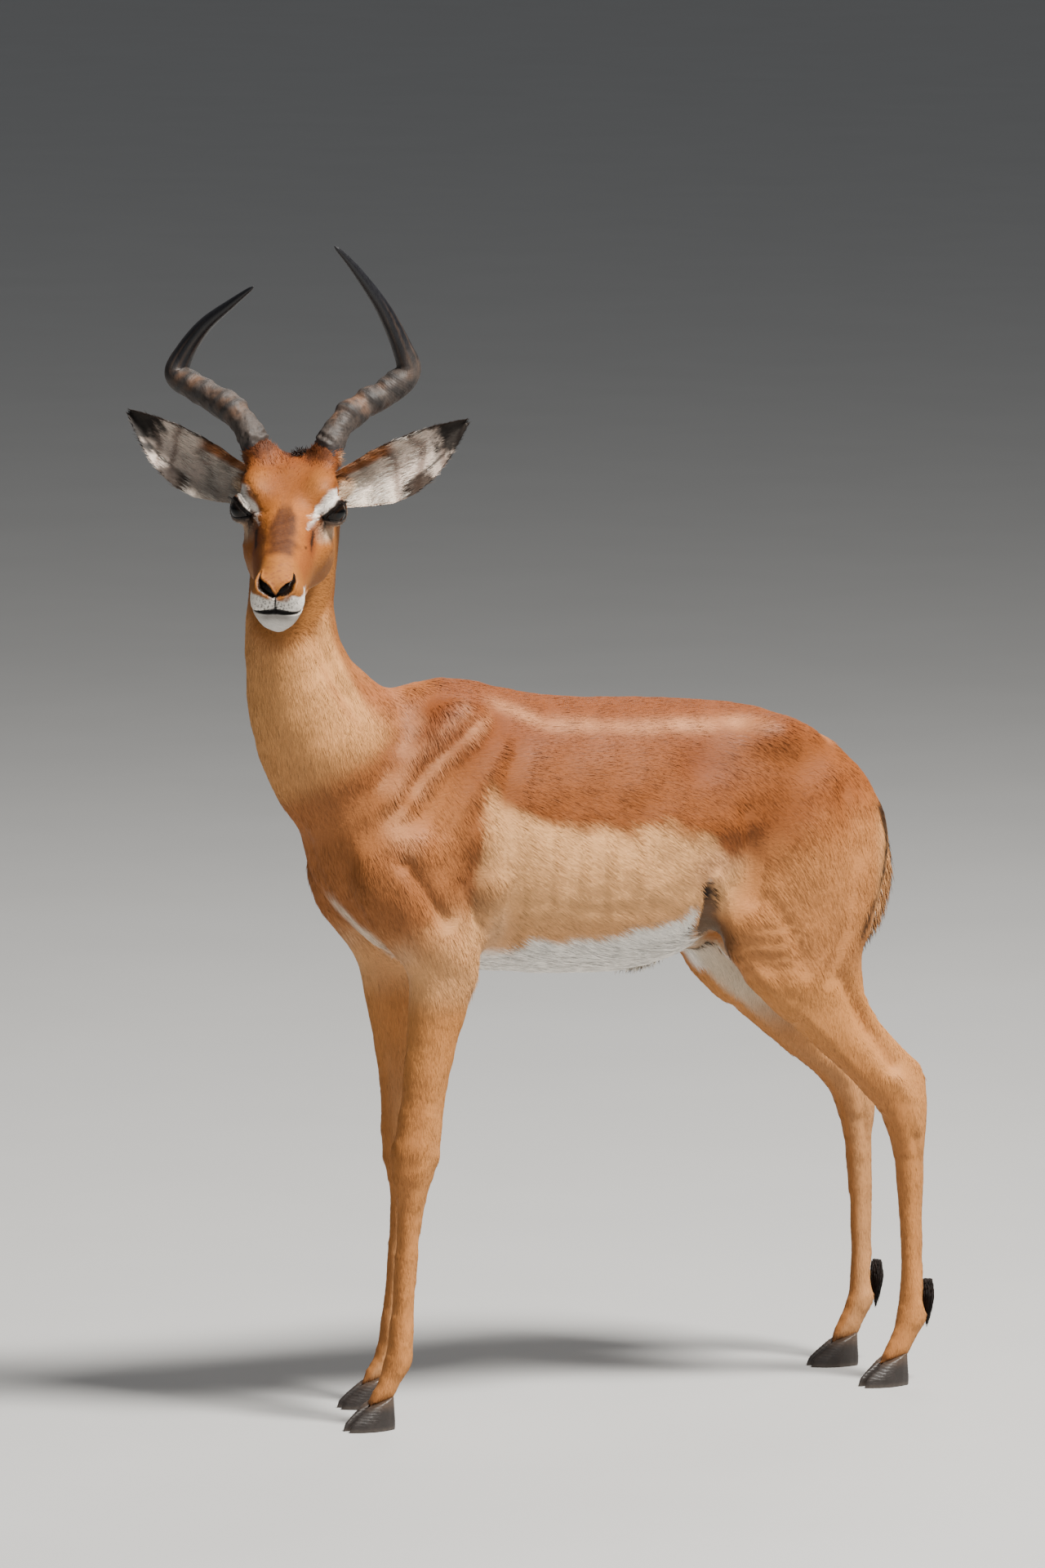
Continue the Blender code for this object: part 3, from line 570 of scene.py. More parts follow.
def body_relief(points, normals, weights):
    """Muscles, bones, tendons and folds of the body and legs."""
    soft = 1 - weights[:, 0]
    height = np.zeros(len(points))
    forward, out, up = -points[:, 1], np.abs(points[:, 0]), points[:, 2]
    for f, o, u, rf, ro, ru, h in SWELLS:
        height += h * bell(forward - f, rf, out - o, ro, up - u, ru)
    flat = np.stack([forward, up], 1)
    outside = step(0.04, 0.08, out)
    for route, wide, high in RIDGES:
        height += high * bell(along_line(flat, route)[0], wide) * outside
    # The fold of skin between flank and thigh.
    line, share = along_line(flat, GROIN)
    facing_out = np.sign(points[:, 0]) * normals[:, 0]
    notch = bell(line, 0.0050 + 0.0110 * share) * step(0.04, 0.07, out) * step(0.1, 0.5, facing_out)
    height -= 0.0120 * notch
    height += 0.0036 * bell(along_line(flat, GROIN_RIM)[0], 0.008) * step(0.05, 0.09, out)
    # Small wrinkles low on the thigh, and creases low on the flank.
    ripple = np.sin((up + 0.45 * forward) * 2 * math.pi / 0.0185 + 2.2 * wobble(points, 0.05, 3))
    height += 0.0007 * ripple * bell(forward + 0.120, 0.042, up - 0.545, 0.034) * outside
    creases = np.sin((up - 0.25 * forward) * 2 * math.pi / 0.026 + 1.8 * wobble(points, 0.07, 4))
    height += 0.0004 * creases * bell(forward - 0.08, 0.13, up - 0.600, 0.030) * outside
    # Legs: the knee and fetlock bones, and the furrow between bone and tendons.
    fore = weights[:, 5] > weights[:, 6]
    ahead, _ = limb_marks(points, fore)
    leg = np.clip(weights[:, 5] + weights[:, 6], 0, 1)
    cannon = np.where(fore, step(0.10, 0.13, up) * step(0.275, 0.245, up),
                      step(0.11, 0.14, up) * step(0.320, 0.285, up))
    height -= 0.0032 * bell(ahead + 0.005, 0.0045) * leg * cannon
    knee = bell(up - 0.328, 0.014) + 0.8 * bell(up - 0.296, 0.011)
    height += 0.0018 * knee * leg * fore * step(-0.012, 0.006, ahead)
    height += 0.0020 * bell(up - 0.318, 0.010, ahead + 0.022, 0.008) * leg * fore
    height += 0.0013 * bell(up - 0.078, 0.013) * leg * bell(ahead, 0.010)
    for route, wide, high in HIND_RIDGES:
        height += high * bell(along_line(flat, route)[0], wide) * weights[:, 6]
    # Neck: the furrow of the vein, and the long muscle beside it.
    level = np.clip((up - 0.80) / 0.30, 0, 1)
    across = points[:, 1] + 0.455 - 0.10 * (1 - level) ** 2
    height -= 0.0042 * bell(across + 0.016, 0.011) * weights[:, 1] * step(0.80, 0.88, up) * step(1.10, 1.02, up)
    height += 0.0030 * bell(across - 0.004, 0.012) * weights[:, 1] * step(0.82, 0.90, up) * step(1.08, 1.0, up)
    # The chest's middle crease, the slight ridge along the back, and the withers.
    height -= 0.0050 * bell(out, 0.010) * step(0.34, 0.38, forward) * step(0.76, 0.70, up)
    height += 0.0015 * bell(out, 0.008) * step(0.78, 0.80, up) * weights[:, 2:4].sum(1)
    height += 0.0060 * bell(out, 0.020) * bell(forward - 0.235, 0.060) * step(0.80, 0.83, up) * weights[:, 2]
    # Broad, faint unevenness.
    height += 0.0008 * wobble(points, 0.09, 5) * soft + 0.0003 * wobble(points, 0.028, 6) * soft
    return points + normals * (height * soft)[:, None]


# Swells and hollows of the face, as for the body but in the head's own frame.
FACE_SWELLS = (
    (0.100, 0.046, -0.018, 0.018, 0.010, 0.010, 0.0038),   # brow over the eye
    (0.078, 0.054, -0.022, 0.018, 0.010, 0.010, 0.0028),
    (0.128, 0.030, -0.036, 0.016, 0.008, 0.010, 0.0018),   # brow towards the nose
    (0.145, 0.036, -0.064, 0.022, 0.012, 0.014, -0.0016),  # hollow before the eye
    (0.110, 0.048, -0.068, 0.020, 0.012, 0.008, 0.0020),   # cheek bone under the eye
    (0.065, 0.052, -0.078, 0.025, 0.012, 0.010, 0.0022),
    (0.120, 0.040, -0.092, 0.030, 0.012, 0.012, -0.0018),
    (0.120, 0.048, -0.112, 0.040, 0.016, 0.020, -0.0065),  # the cheek falls away to the jaw
    (0.060, 0.045, -0.110, 0.035, 0.015, 0.022, 0.0022),   # chewing muscle
    (0.252, 0.022, -0.072, 0.010, 0.008, 0.009, 0.0020),   # wing of the nostril
    (0.225, 0.026, -0.072, 0.012, 0.010, 0.010, -0.0012),
    (0.250, 0.014, -0.086, 0.014, 0.010, 0.008, 0.0016),   # upper lip
    (0.245, 0.000, -0.108, 0.012, 0.016, 0.006, 0.0014),   # lower lip
)
NOSTRIL_DEPTH = 0.0080
# Where the lids lie over the eyeball, and how far the skin in their opening lies inside it.
LID_OVER, LID_THICK, LID_INSIDE, LID_EDGE = 0.0010, 0.0014, 0.0045, 0.0006


def face_relief(points, normals, weights):
    """Lids round the eyes, nostrils, lips, brow and cheek, in the head's own frame."""
    m = face_marks(points)
    head = step(0.2, 0.8, weights[:, 0])
    side, forward, up = m["side"], m["forward"], m["up"]
    height = np.zeros(len(points))
    for f, o, u, rf, ro, ru, h in FACE_SWELLS:
        height += h * bell(forward - f, rf, side - o, ro, up - u, ru)
    pad = step(0.212, 0.224, forward) * step(0.252, 0.236, forward)
    height += 0.0008 * pad * step(-0.084, -0.070, up) * step(0.030, 0.018, side)
    top = step(-0.08, -0.05, up)
    height -= 0.0010 * bell(side, 0.006) * step(0.08, 0.12, forward) * step(0.22, 0.18, forward) * top
    height += 0.0010 * bell(side - 0.016, 0.006) * step(0.12, 0.15, forward) * step(0.24, 0.20, forward) * top
    points = points + normals * (height * head)[:, None]

    # Nostrils: slits pressed into the nose, with a raised wing.
    near = m["nostril"]
    pit = step(0.0002, -0.0026, near)
    rim = bell(near - 0.0016, 0.0012)
    inward = NOSTRIL_INWARD * np.stack([np.sign(m["out"]), *np.ones((2, len(points)))], 1)
    points = points + from_head(inward) * (NOSTRIL_DEPTH * pit * head)[:, None]
    points = points + normals * (0.0008 * rim * head)[:, None]
    # The line from nose to lip, and the mouth.
    groove = 0.0014 * bell(m["philtrum"], 0.0013)
    groove += 0.0034 * bell(m["mouth"], 0.0018) * step(0.02, 0.08, forward)
    points = points - normals * (groove * head)[:, None]

    # Lids: the skin wraps the eyeball, with an opening whose edge the net is drawn to.
    for side_name, sign in SIDES.items():
        before_it = m["eye_way"] @ eye_frame("left")[1] > -0.2
        index = np.nonzero((np.sign(m["out"]) == sign) & (m["eye_far"] < 0.045) & before_it)[0]
        local = np.stack([m["out"][index], m["forward"][index], m["up"][index]], 1)
        inside, far, way, _, y = lid_opening(local, side_name)
        open_here = inside > LID_EDGE
        lid = EYE_RADIUS + LID_OVER + LID_THICK * step(-0.0006, -0.004, inside)
        change = np.where(open_here, EYE_RADIUS - LID_INSIDE, lid) - far
        sinking = np.maximum(change, 0) + np.minimum(change, 0) * step(-0.0115, -0.0045, inside)
        change = np.where(inside > -0.0045, change, sinking)
        crease = -0.0011 * bell(inside + 0.0062, 0.0011) * step(-0.004, 0.004, y)
        reach = far + change * step(-0.0290, -0.0035, inside) + crease
        reach = np.where(open_here, reach, np.maximum(reach, EYE_RADIUS + 0.0008))
        points[index] = head_place(eye_frame(side_name)[0] + way * reach[:, None])
    return points


def lid_edge_snapped(points):
    """Draws the net's points nearest the edge of each opening onto it, so that the lids end in a clean line."""
    local = np.stack(head_local(points), 1)
    close_by, tiny = 0.0009, 0.0001
    for side_name, sign in SIDES.items():
        middle, axis, along, rise = eye_frame(side_name)
        away = local - middle
        near_eye = (np.sign(local[:, 0]) == sign) & (np.linalg.norm(away, axis=1) < 0.035) & (away @ axis > 0)
        index = np.nonzero(near_eye)[0]
        inside, far, _, x, y = lid_opening(local[index], side_name)
        close = np.abs(inside) < close_by
        index, far, x, y = index[close], far[close], x[close], y[close]

        def way_of(x, y):
            a, b = x / EYE_RADIUS, y / EYE_RADIUS
            flat = np.cos(b)[:, None] * (np.cos(a)[:, None] * axis + np.sin(a)[:, None] * along)
            return flat + np.sin(b)[:, None] * rise

        for _ in range(3):
            here = lid_opening(middle + way_of(x, y), side_name)[0]
            to_x = (lid_opening(middle + way_of(x + tiny, y), side_name)[0] - here) / tiny
            to_y = (lid_opening(middle + way_of(x, y + tiny), side_name)[0] - here) / tiny
            size = np.maximum(to_x ** 2 + to_y ** 2, 0.2)
            x, y = x - here * to_x / size, y - here * to_y / size
        points[index] = head_place(middle + way_of(x, y) * far[:, None])
    return points


def group_weights(points, tree, groups, net, times=8):
    """How far each point belongs to each group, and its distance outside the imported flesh."""
    nearest = [tree.find_nearest(Vector(p)) for p in points]
    own = groups[[n[2] for n in nearest]]
    away = dot(points - np.array([n[0] for n in nearest]), np.array([n[1] for n in nearest]))
    return net.spread(np.eye(len(GROUPS))[own], times, 0.8), away


# The parts of the net that are cut finer, in turn.
def legs_and_head(p):
    m = face_marks(p)
    return (m["forward"] > -0.02) & (p[:, 2] > 0.95) & (m["forward"] < 0.30) | (p[:, 2] < 0.41)


def face(p):
    m = face_marks(p)
    muzzle = (m["forward"] > 0.200) & (m["up"] > -0.122)
    return ((m["eye_far"] < 0.034) | muzzle) & (p[:, 2] > 0.95)


def lids_and_lips(p):
    m = face_marks(p)
    lids = (m["eye_far"] < 0.028) & (m["lids"] > -0.006) & (m["lids"] < 0.004) & (m["forward"] > 0.05)
    lips = (m["nostril"] < 0.0025) | (m["philtrum"] < 0.0035) | (m["mouth"] < 0.0040)
    return (lids | (lips & (m["forward"] > 0.18))) & (p[:, 2] > 0.95)


def shaped_skin():
    tree, groups = flesh_tree()
    mesh = base_shell()
    points, triangles, edges = read_mesh(mesh)
    net = Net(len(points), edges)
    points = net.smooth(points, 45)
    weights, away = group_weights(points, tree, groups, net, 12)
    error = net.spread(np.clip(-(weights @ COAT_DEPTH) - away, -DEEPEST_ERROR, DEEPEST_ERROR), 14)
    points = points + point_normals(points, triangles) * error[:, None]
    mesh.vertices.foreach_set("co", points.astype(np.float32).ravel())
    for wanted, times in ((legs_and_head, 10), (face, 8), (lids_and_lips, 3)):
        mesh = refined(mesh, wanted)
        points, triangles, edges = read_mesh(mesh)
        net = Net(len(points), edges)
        points = net.smooth(points, times, net.spread(wanted(points).astype(float), 3))
        mesh.vertices.foreach_set("co", points.astype(np.float32).ravel())
    weights, _ = group_weights(points, tree, groups, net)
    points = body_relief(points, point_normals(points, triangles), weights)
    points = lid_edge_snapped(points)
    points = face_relief(points, point_normals(points, triangles), weights)
    mesh.vertices.foreach_set("co", points.astype(np.float32).ravel())
    return mesh, weights


# The ears, as part of the skin.
EAR_ROWS, EAR_COLUMNS = 64, 30


def ear_frame(side):
    """The ear's own axes: from base to tip, the way it opens, and across it."""
    sign = SIDES[side]
    lift, sweep = math.radians(EAR_LIFT[side]), math.radians(EAR_SWEEP)
    axis = np.array([sign * math.cos(lift) * math.cos(sweep), math.cos(lift) * math.sin(sweep), math.sin(lift)])
    opening = np.array([0.25 * sign, -1.0, 0.10])
    opening = opening - axis * (opening @ axis)
    opening /= np.linalg.norm(opening)
    return axis, opening, np.cross(axis, opening)


def ear_point(side, s, t, deep):
    """A point of the ear: s from base to tip, t from edge to edge, and how deep behind its inner face."""
    sign = SIDES[side]
    axis, opening, across = ear_frame(side)
    half = EAR_HALF_WIDTH * read(EAR_WIDTHS, np.clip(s, 0, 1))
    cup = 0.9 * half * (1 - 0.75 * np.clip(s, 0, 1)) + 0.004
    bow = EAR_SAG * np.sin(math.pi * np.clip(s, 0, 1) ** 0.9)
    thin = np.clip(1 - np.abs(t) ** 6, 0, 1) ** 0.5
    p = axis * (EAR_LENGTH * s)[:, None] + across * (sign * bow + half * t)[:, None]
    p = p + opening * (cup * (t * t - 0.5) - deep * thin)[:, None]
    base = HEAD @ place(EAR_BASE[1], sign * EAR_BASE[0], EAR_BASE[2])
    return turned(p) + np.array(base)


def ear_grid(side):
    """Points, quads and each point's place (s, t, 1 on the inner face) for one ear, closed round its rim."""
    s = np.linspace(-0.06, 0.995, EAR_ROWS)
    t = np.linspace(-1, 1, EAR_COLUMNS)
    t = np.sign(t) * (1 - (1 - np.abs(t)) ** 1.4)
    ss, tt = (a.ravel() for a in np.meshgrid(s, t, indexing="ij"))
    thick = 0.0011 + 0.0011 * (1 - np.clip(ss, 0, 1))
    fold = 0.0007 * np.sin(tt * 9.0 + 0.6) * step(0.05, 0.2, ss) * step(0.95, 0.6, ss)
    inner = ear_point(side, ss, tt, -thick + 0.0006 + fold)
    outer = ear_point(side, ss, tt, thick + 0.0006 + fold * 0.5)
    count = EAR_ROWS * EAR_COLUMNS
    index = np.arange(count).reshape(EAR_ROWS, EAR_COLUMNS)
    quads = np.stack([index[:-1, :-1], index[1:, :-1], index[1:, 1:], index[:-1, 1:]], -1).reshape(-1, 4)

    def strip(edge):
        return np.stack([edge[:-1], edge[1:], edge[1:] + count, edge[:-1] + count], -1)

    rims = [strip(index[:, 0])[:, ::-1], strip(index[:, -1]), strip(index[-1])[:, ::-1], strip(index[0])]
    points = np.concatenate([inner, outer])
    quads = np.concatenate([quads, quads[:, ::-1] + count, *rims])
    spots = np.stack([np.tile(ss, 2), np.tile(tt, 2), np.repeat([1.0, 0.0], count)], 1)
    a, b, c = (points[quads[0, k]] for k in range(3))
    facing = np.cross(b - a, c - b) @ turned(ear_frame(side)[1])
    return points, quads if facing > 0 else quads[:, ::-1], spots


def with_ears(mesh, weights):
    """Joins the ears to the skin's mesh. Each point's spot says where it is on an ear, and which: 1, 2 or 0."""
    work = bmesh.new()
    work.from_mesh(mesh)
    spots = np.zeros((len(mesh.vertices), 4))
    for number, side in enumerate(SIDES):
        points, quads, places = ear_grid(side)
        verts = [work.verts.new(p) for p in points]
        for q in quads:
            work.faces.new([verts[k] for k in q])
        spots = np.concatenate([spots, np.column_stack([places, np.full(len(places), number + 1)])])
    work.to_mesh(mesh)
    work.free()
    weights = np.concatenate([weights, np.tile(np.eye(len(GROUPS))[0], (len(spots) - len(weights), 1))])
    return mesh, weights, spots


# Colours of the coat.
SADDLE, FLANK = shade(127, 71, 31), shade(220, 164, 109)
SHOULDER, NECK_TAN = shade(164, 103, 57), shade(212, 152, 94)
LEG_TAN, THIGH, FAWN = shade(190, 127, 70), shade(180, 119, 68), shade(206, 150, 98)
WHITE, BLACK, RUST = shade(240, 234, 224), shade(14, 11, 10), shade(124, 64, 28)
# Where the saddle and the white belly end on the flank: how far forward, and how high.
SADDLE_EDGE = ((-0.32, 0.690), (-0.244, 0.690), (-0.182, 0.662), (-0.106, 0.640), (-0.066, 0.655),
               (-0.025, 0.680), (0.029, 0.692), (0.120, 0.698), (0.169, 0.704), (0.222, 0.714), (0.240, 0.742),
               (0.256, 0.700), (0.268, 0.605), (0.360, 0.560))
BELLY_EDGE = ((-0.12, 0.580), (-0.028, 0.600), (-0.010, 0.588), (0.041, 0.572), (0.100, 0.566), (0.181, 0.567),
              (0.223, 0.552), (0.260, 0.520))
# The black line down the rump, the painted sheen over the groin, and the painted black shadow at the top of the
# notch, as forward and up.
RUMP_LINE = ((-0.285, 0.700), (-0.2925, 0.668), (-0.290, 0.636), (-0.281, 0.606), (-0.267, 0.578),
             (-0.253, 0.552))
GROIN_SHEEN_LINE = ((-0.036, 0.640), (-0.085, 0.668))
GROIN_TOP_SHADOW = ((-0.036, 0.617), (-0.046, 0.606))
# Painted sheen: pale streaks of painted highlight on both sides: forward and up along each, half its width, and
# its strength.
PAINTED_SHEENS = (
    (((0.235, 0.850), (0.211, 0.842), (0.151, 0.815), (0.039, 0.806), (-0.100, 0.802), (-0.160, 0.800)),
     0.0085, 0.42),
    (((0.247, 0.850), (0.334, 0.785), (0.367, 0.730)), 0.0085, 0.30),
    (((0.214, 0.840), (0.297, 0.784), (0.340, 0.734)), 0.0080, 0.34),
    (((0.299, 0.838), (0.353, 0.785), (0.375, 0.740)), 0.0060, 0.30),
    (((-0.150, 0.830), (-0.215, 0.800), (-0.240, 0.770)), 0.0100, 0.30),
    (((0.352, 0.735), (0.356, 0.700), (0.345, 0.672)), 0.0130, 0.40),
)
# Soft spots of colour at shoulder and elbow: colour, strength, forward and up, and the reach along both.
SHOULDER_SPOTS = (
    (shade(112, 64, 30), 0.65, 0.262, 0.638, 0.034, 0.042),
    (shade(134, 80, 42), 0.55, 0.345, 0.640, 0.030, 0.034),
)
ELBOW_SPOTS = (
    (shade(206, 160, 120), 0.70, 0.352, 0.556, 0.014, 0.018),
    (shade(210, 168, 128), 0.60, 0.222, 0.575, 0.014, 0.028),
)


def blend(base, colour, share):
    return base + (colour - base) * np.clip(share, 0, 1)[:, None]


def near_line(line, wide, soft=0.5):
    """1 on a line that is wide across, and 0 beyond it."""
    return step(wide * (1 + soft), wide * (1 - soft), line)


def spotted(colour, spots, forward, up):
    """The colour with some soft spots laid over it."""
    for tone, share, f, u, rf, ru in spots:
        colour = blend(colour, tone, share * bell(forward - f, rf, up - u, ru))
    return colour


def saddle_and_flank(forward, up, flat, ragged):
    """The red saddle over the paler flank."""
    softness = 0.014 + 0.034 * step(-0.05, -0.15, forward) + 0.034 * step(0.20, 0.25, forward)
    saddle = step(-1, 1, (up + ragged - read(SADDLE_EDGE, forward)) / softness)
    below = blend(FLANK, FAWN, step(0.62, 0.56, up))
    below = blend(below, THIGH, step(-0.062, -0.112, forward + 0.4 * (up - 0.62)))
    # A pale streak over the groin: painted sheen on the rim above the notch.
    groin_sheen = near_line(along_line(flat, GROIN_SHEEN_LINE)[0], 0.020, 0.9) * step(-0.115, -0.09, forward)
    below = blend(below, shade(204, 150, 104), groin_sheen)
    above = blend(SADDLE, shade(114, 58, 26), 0.6 * step(0.76, 0.815, up))
    # Darker in the hollow of the flank: partly darker hair, partly painted shade in the hollow.
    above = blend(above, shade(108, 56, 26), 0.75 * bell(forward + 0.044, 0.045, up - 0.762, 0.030))
    above = blend(above, SHOULDER, 0.85 * step(0.24, 0.30, forward) * step(0.80, 0.72, up))
    above = blend(above, shade(140, 80, 40), 0.8 * step(-0.17, -0.25, forward) * step(0.80, 0.72, up))
    return blend(below, above, saddle)


def neck_colour(up, normals):
    """Tan, darker down the nape and towards the withers."""
    nape = step(0.15, 0.75, normals[:, 2] + 0.4 * normals[:, 1]) * step(0.92, 0.86, up)
    tan = blend(NECK_TAN, SHOULDER, 0.28 * step(0.86, 0.74, up))
    tan = blend(tan, shade(132, 78, 40), 0.85 * step(0.1, 0.8, normals[:, 1]))
    tan = blend(tan, shade(140, 80, 42), 0.9 * nape)
    return blend(tan, shade(192, 136, 88), 0.4 * step(0.5, 0.9, -normals[:, 1]) * step(0.85, 0.95, up))


def body_colour(points, normals, weights):
    forward, out, up = -points[:, 1], np.abs(points[:, 0]), points[:, 2]
    neck, trunk, rump, tail, fore, hind = weights[:, 1:].T
    legs = np.clip(fore + hind, 0, 1)
    flat = np.stack([forward, up], 1)
    ragged = 0.006 * wobble(points, 0.045, 11) + 0.003 * wobble(points, 0.015, 12)
    facing_in = -np.sign(points[:, 0]) * normals[:, 0]
    colour = saddle_and_flank(forward, up, flat, ragged)
    # Painted sheen: pale streaks of painted highlight along the loin and down the shoulder blade, and a few more
    # over hip and shoulder.
    for route, wide, share in PAINTED_SHEENS:
        line, along = along_line(flat, route)
        streak = bell(line, wide) * (0.75 + 0.25 * wobble(points, 0.030, 13)) * step(-0.2, 0.3, -facing_in)
        streak = streak * step(0.0, 0.12, along) * step(1.0, 0.85, along)
        colour = blend(colour, shade(226, 162, 116), share * streak)
    # Shoulder and elbow: brown muscle, with paler hair in the hollows.
    colour = spotted(colour, SHOULDER_SPOTS, forward, up)
    colour = blend(colour, LEG_TAN, legs * step(0.60, 0.50, up))
    colour = spotted(colour, ELBOW_SPOTS, forward, up)
    colour = blend(colour, neck_colour(up, normals), neck)
    # White below: belly, between the legs, the insides of the thighs, and down the middle of the chest; on the
    # insides of the thighs and in the groin the white is dulled by painted shade.
    belly = step(0.002, -0.008, up + 0.6 * ragged - read(BELLY_EDGE, forward))
    belly = belly * step(0.27, 0.235, forward) * step(-0.16, -0.10, forward)
    belly = belly * (1 - step(-0.022, -0.034, forward) * step(0.1, 0.4, -facing_in))
    belly = belly * (1 - step(-0.050, -0.065, forward) * step(0.060, 0.075, out))
    belly = np.maximum(belly, step(-0.60, -0.88, normals[:, 2]) * trunk * step(0.33, 0.28, forward))
    colour = blend(colour, WHITE, belly * np.clip(1 - fore * 1.3, 0, 1) * step(0.75, 0.45, hind))
    # The insides of the thighs: white hair dulled to cream by painted shade.
    inner = step(0.55, 0.95, facing_in + 8 * ragged) * np.clip(hind * 1.2 + rump, 0, 1)
    inner = inner * step(0.40, 0.48, up) * step(0.75, 0.66, up) * step(0.10, 0.07, out)
    colour = blend(colour, shade(212, 196, 172), 0.92 * inner)
    # Between the hind legs, on surfaces facing down: whitish hair greyed by painted shade.
    groin_shade = step(-0.10, -0.45, normals[:, 2]) * step(0.078, 0.062, out)
    groin_shade = groin_shade * step(0.515, 0.535, up) * step(0.625, 0.605, up)
    colour = blend(colour, shade(176, 154, 128), 0.85 * groin_shade * np.clip(rump + hind, 0, 1))
    colour = blend(colour, WHITE, 0.6 * step(0.35, 0.8, facing_in) * fore * step(0.505, 0.56, up))
    chest = step(0.026, 0.006, out + 0.4 * ragged) * step(0.30, 0.36, forward) * step(0.635, 0.60, up)
    colour = blend(colour, shade(232, 214, 192), 0.75 * chest * (1 - 0.5 * neck))
    # The rump: fawn at its edge, with the black line down each side, and white beside the tail.
    edge = step(-0.262, -0.288, forward) * step(0.72, 0.66, up) * step(0.50, 0.56, up)
    colour = blend(colour, FAWN, 0.75 * edge * (1 - tail))
    line = along_line(flat, RUMP_LINE)[0]
    rump_line = near_line(line + 0.3 * ragged, 0.0046) * rump * step(0.04, 0.07, out)
    colour = blend(colour, BLACK, 0.9 * rump_line * step(0.15, 0.40, -facing_in))
    white_rump = step(-0.288, -0.302, forward) * step(0.066, 0.052, out) * rump * step(0.70, 0.67, up)
    colour = blend(colour, WHITE, 0.9 * white_rump * step(0.50, 0.54, up))
    # The tail: fawn, white beneath, with a black line down it.
    tail_line = step(0.0150, 0.0100, out + 0.3 * ragged) * step(-0.15, 0.20, normals[:, 1])
    colour = blend(colour, FAWN, tail)
    colour = blend(colour, WHITE, 0.9 * tail * step(0.6, 0.95, -normals[:, 1]) * step(0.024, 0.014, out))
    colour = blend(colour, BLACK, 0.94 * tail * tail_line)
    # Painted shade in the notch between flank and thigh, with painted black shadow at its top, and the spot
    # before it under the belly.
    fold, share = along_line(flat, GROIN)
    dark = step(1.25, 0.70, (fold + 0.3 * ragged) / (0.0046 + 0.0205 * share)) * step(0.010, 0.030, out)
    colour = blend(colour, shade(58, 37, 23), (0.94 - 0.24 * share) * dark)
    top = near_line(along_line(flat, GROIN_TOP_SHADOW)[0], 0.0052, 0.4) * step(0.05, 0.08, out)
    colour = blend(colour, BLACK, 0.95 * top)
    sheath = np.hypot((forward + 0.025) / 0.009, (up - 0.564 + 0.9 * (forward + 0.025)) / 0.0050) + 25 * ragged
    colour = blend(colour, shade(52, 46, 42), 0.75 * step(1.2, 0.8, sheath) * step(0.05, 0.08, out))
    # Legs: darker in front of the shins, paler behind and inside.
    ahead, _ = limb_marks(points, fore > hind)
    leg = legs * step(0.46, 0.36, up)
    colour = blend(colour, shade(150, 92, 48), 0.35 * leg * step(0.0, 0.012, ahead))
    colour = blend(colour, shade(188, 130, 78), 0.5 * leg * step(0.002, -0.012, ahead))
    colour = blend(colour, shade(194, 144, 98), 0.5 * leg * step(0.3, 0.9, facing_in))
    return blend(colour, shade(96, 60, 36), 0.55 * step(0.048, 0.032, up))


# The face's own lines, as out, forward and up in the head's frame: the brow with its half width along it, the
# cream band below the eye, the gland before it (with out shortened), and the black corner of the eye.
BROW = ((0.0575, 0.080, -0.0190), (0.0515, 0.097, -0.0220), (0.0440, 0.109, -0.0285), (0.0340, 0.119, -0.0385),
        (0.0262, 0.146, -0.0430))
BROW_HALF = ((0, 0.0036), (0.2, 0.0074), (0.42, 0.0078), (0.65, 0.0036), (1, 0.0011))
CREAM = ((0.0600, 0.078, -0.065), (0.0535, 0.100, -0.066), (0.0420, 0.122, -0.057), (0.0385, 0.131, -0.0520))
GLAND = ((0.0121, 0.140, -0.0515), (0.0119, 0.160, -0.0600))
GLAND_SPOT = (0.0098, 0.1727, -0.0540)
EYE_CORNER = ((0.0450, 0.1105, -0.0430), (0.0322, 0.1200, -0.0418))
# Half the width of the brown patch down the nose, from back to front.
BRIDGE_HALF = ((0.112, 0.004), (0.140, 0.0115), (0.165, 0.0160), (0.200, 0.0155), (0.235, 0.010))


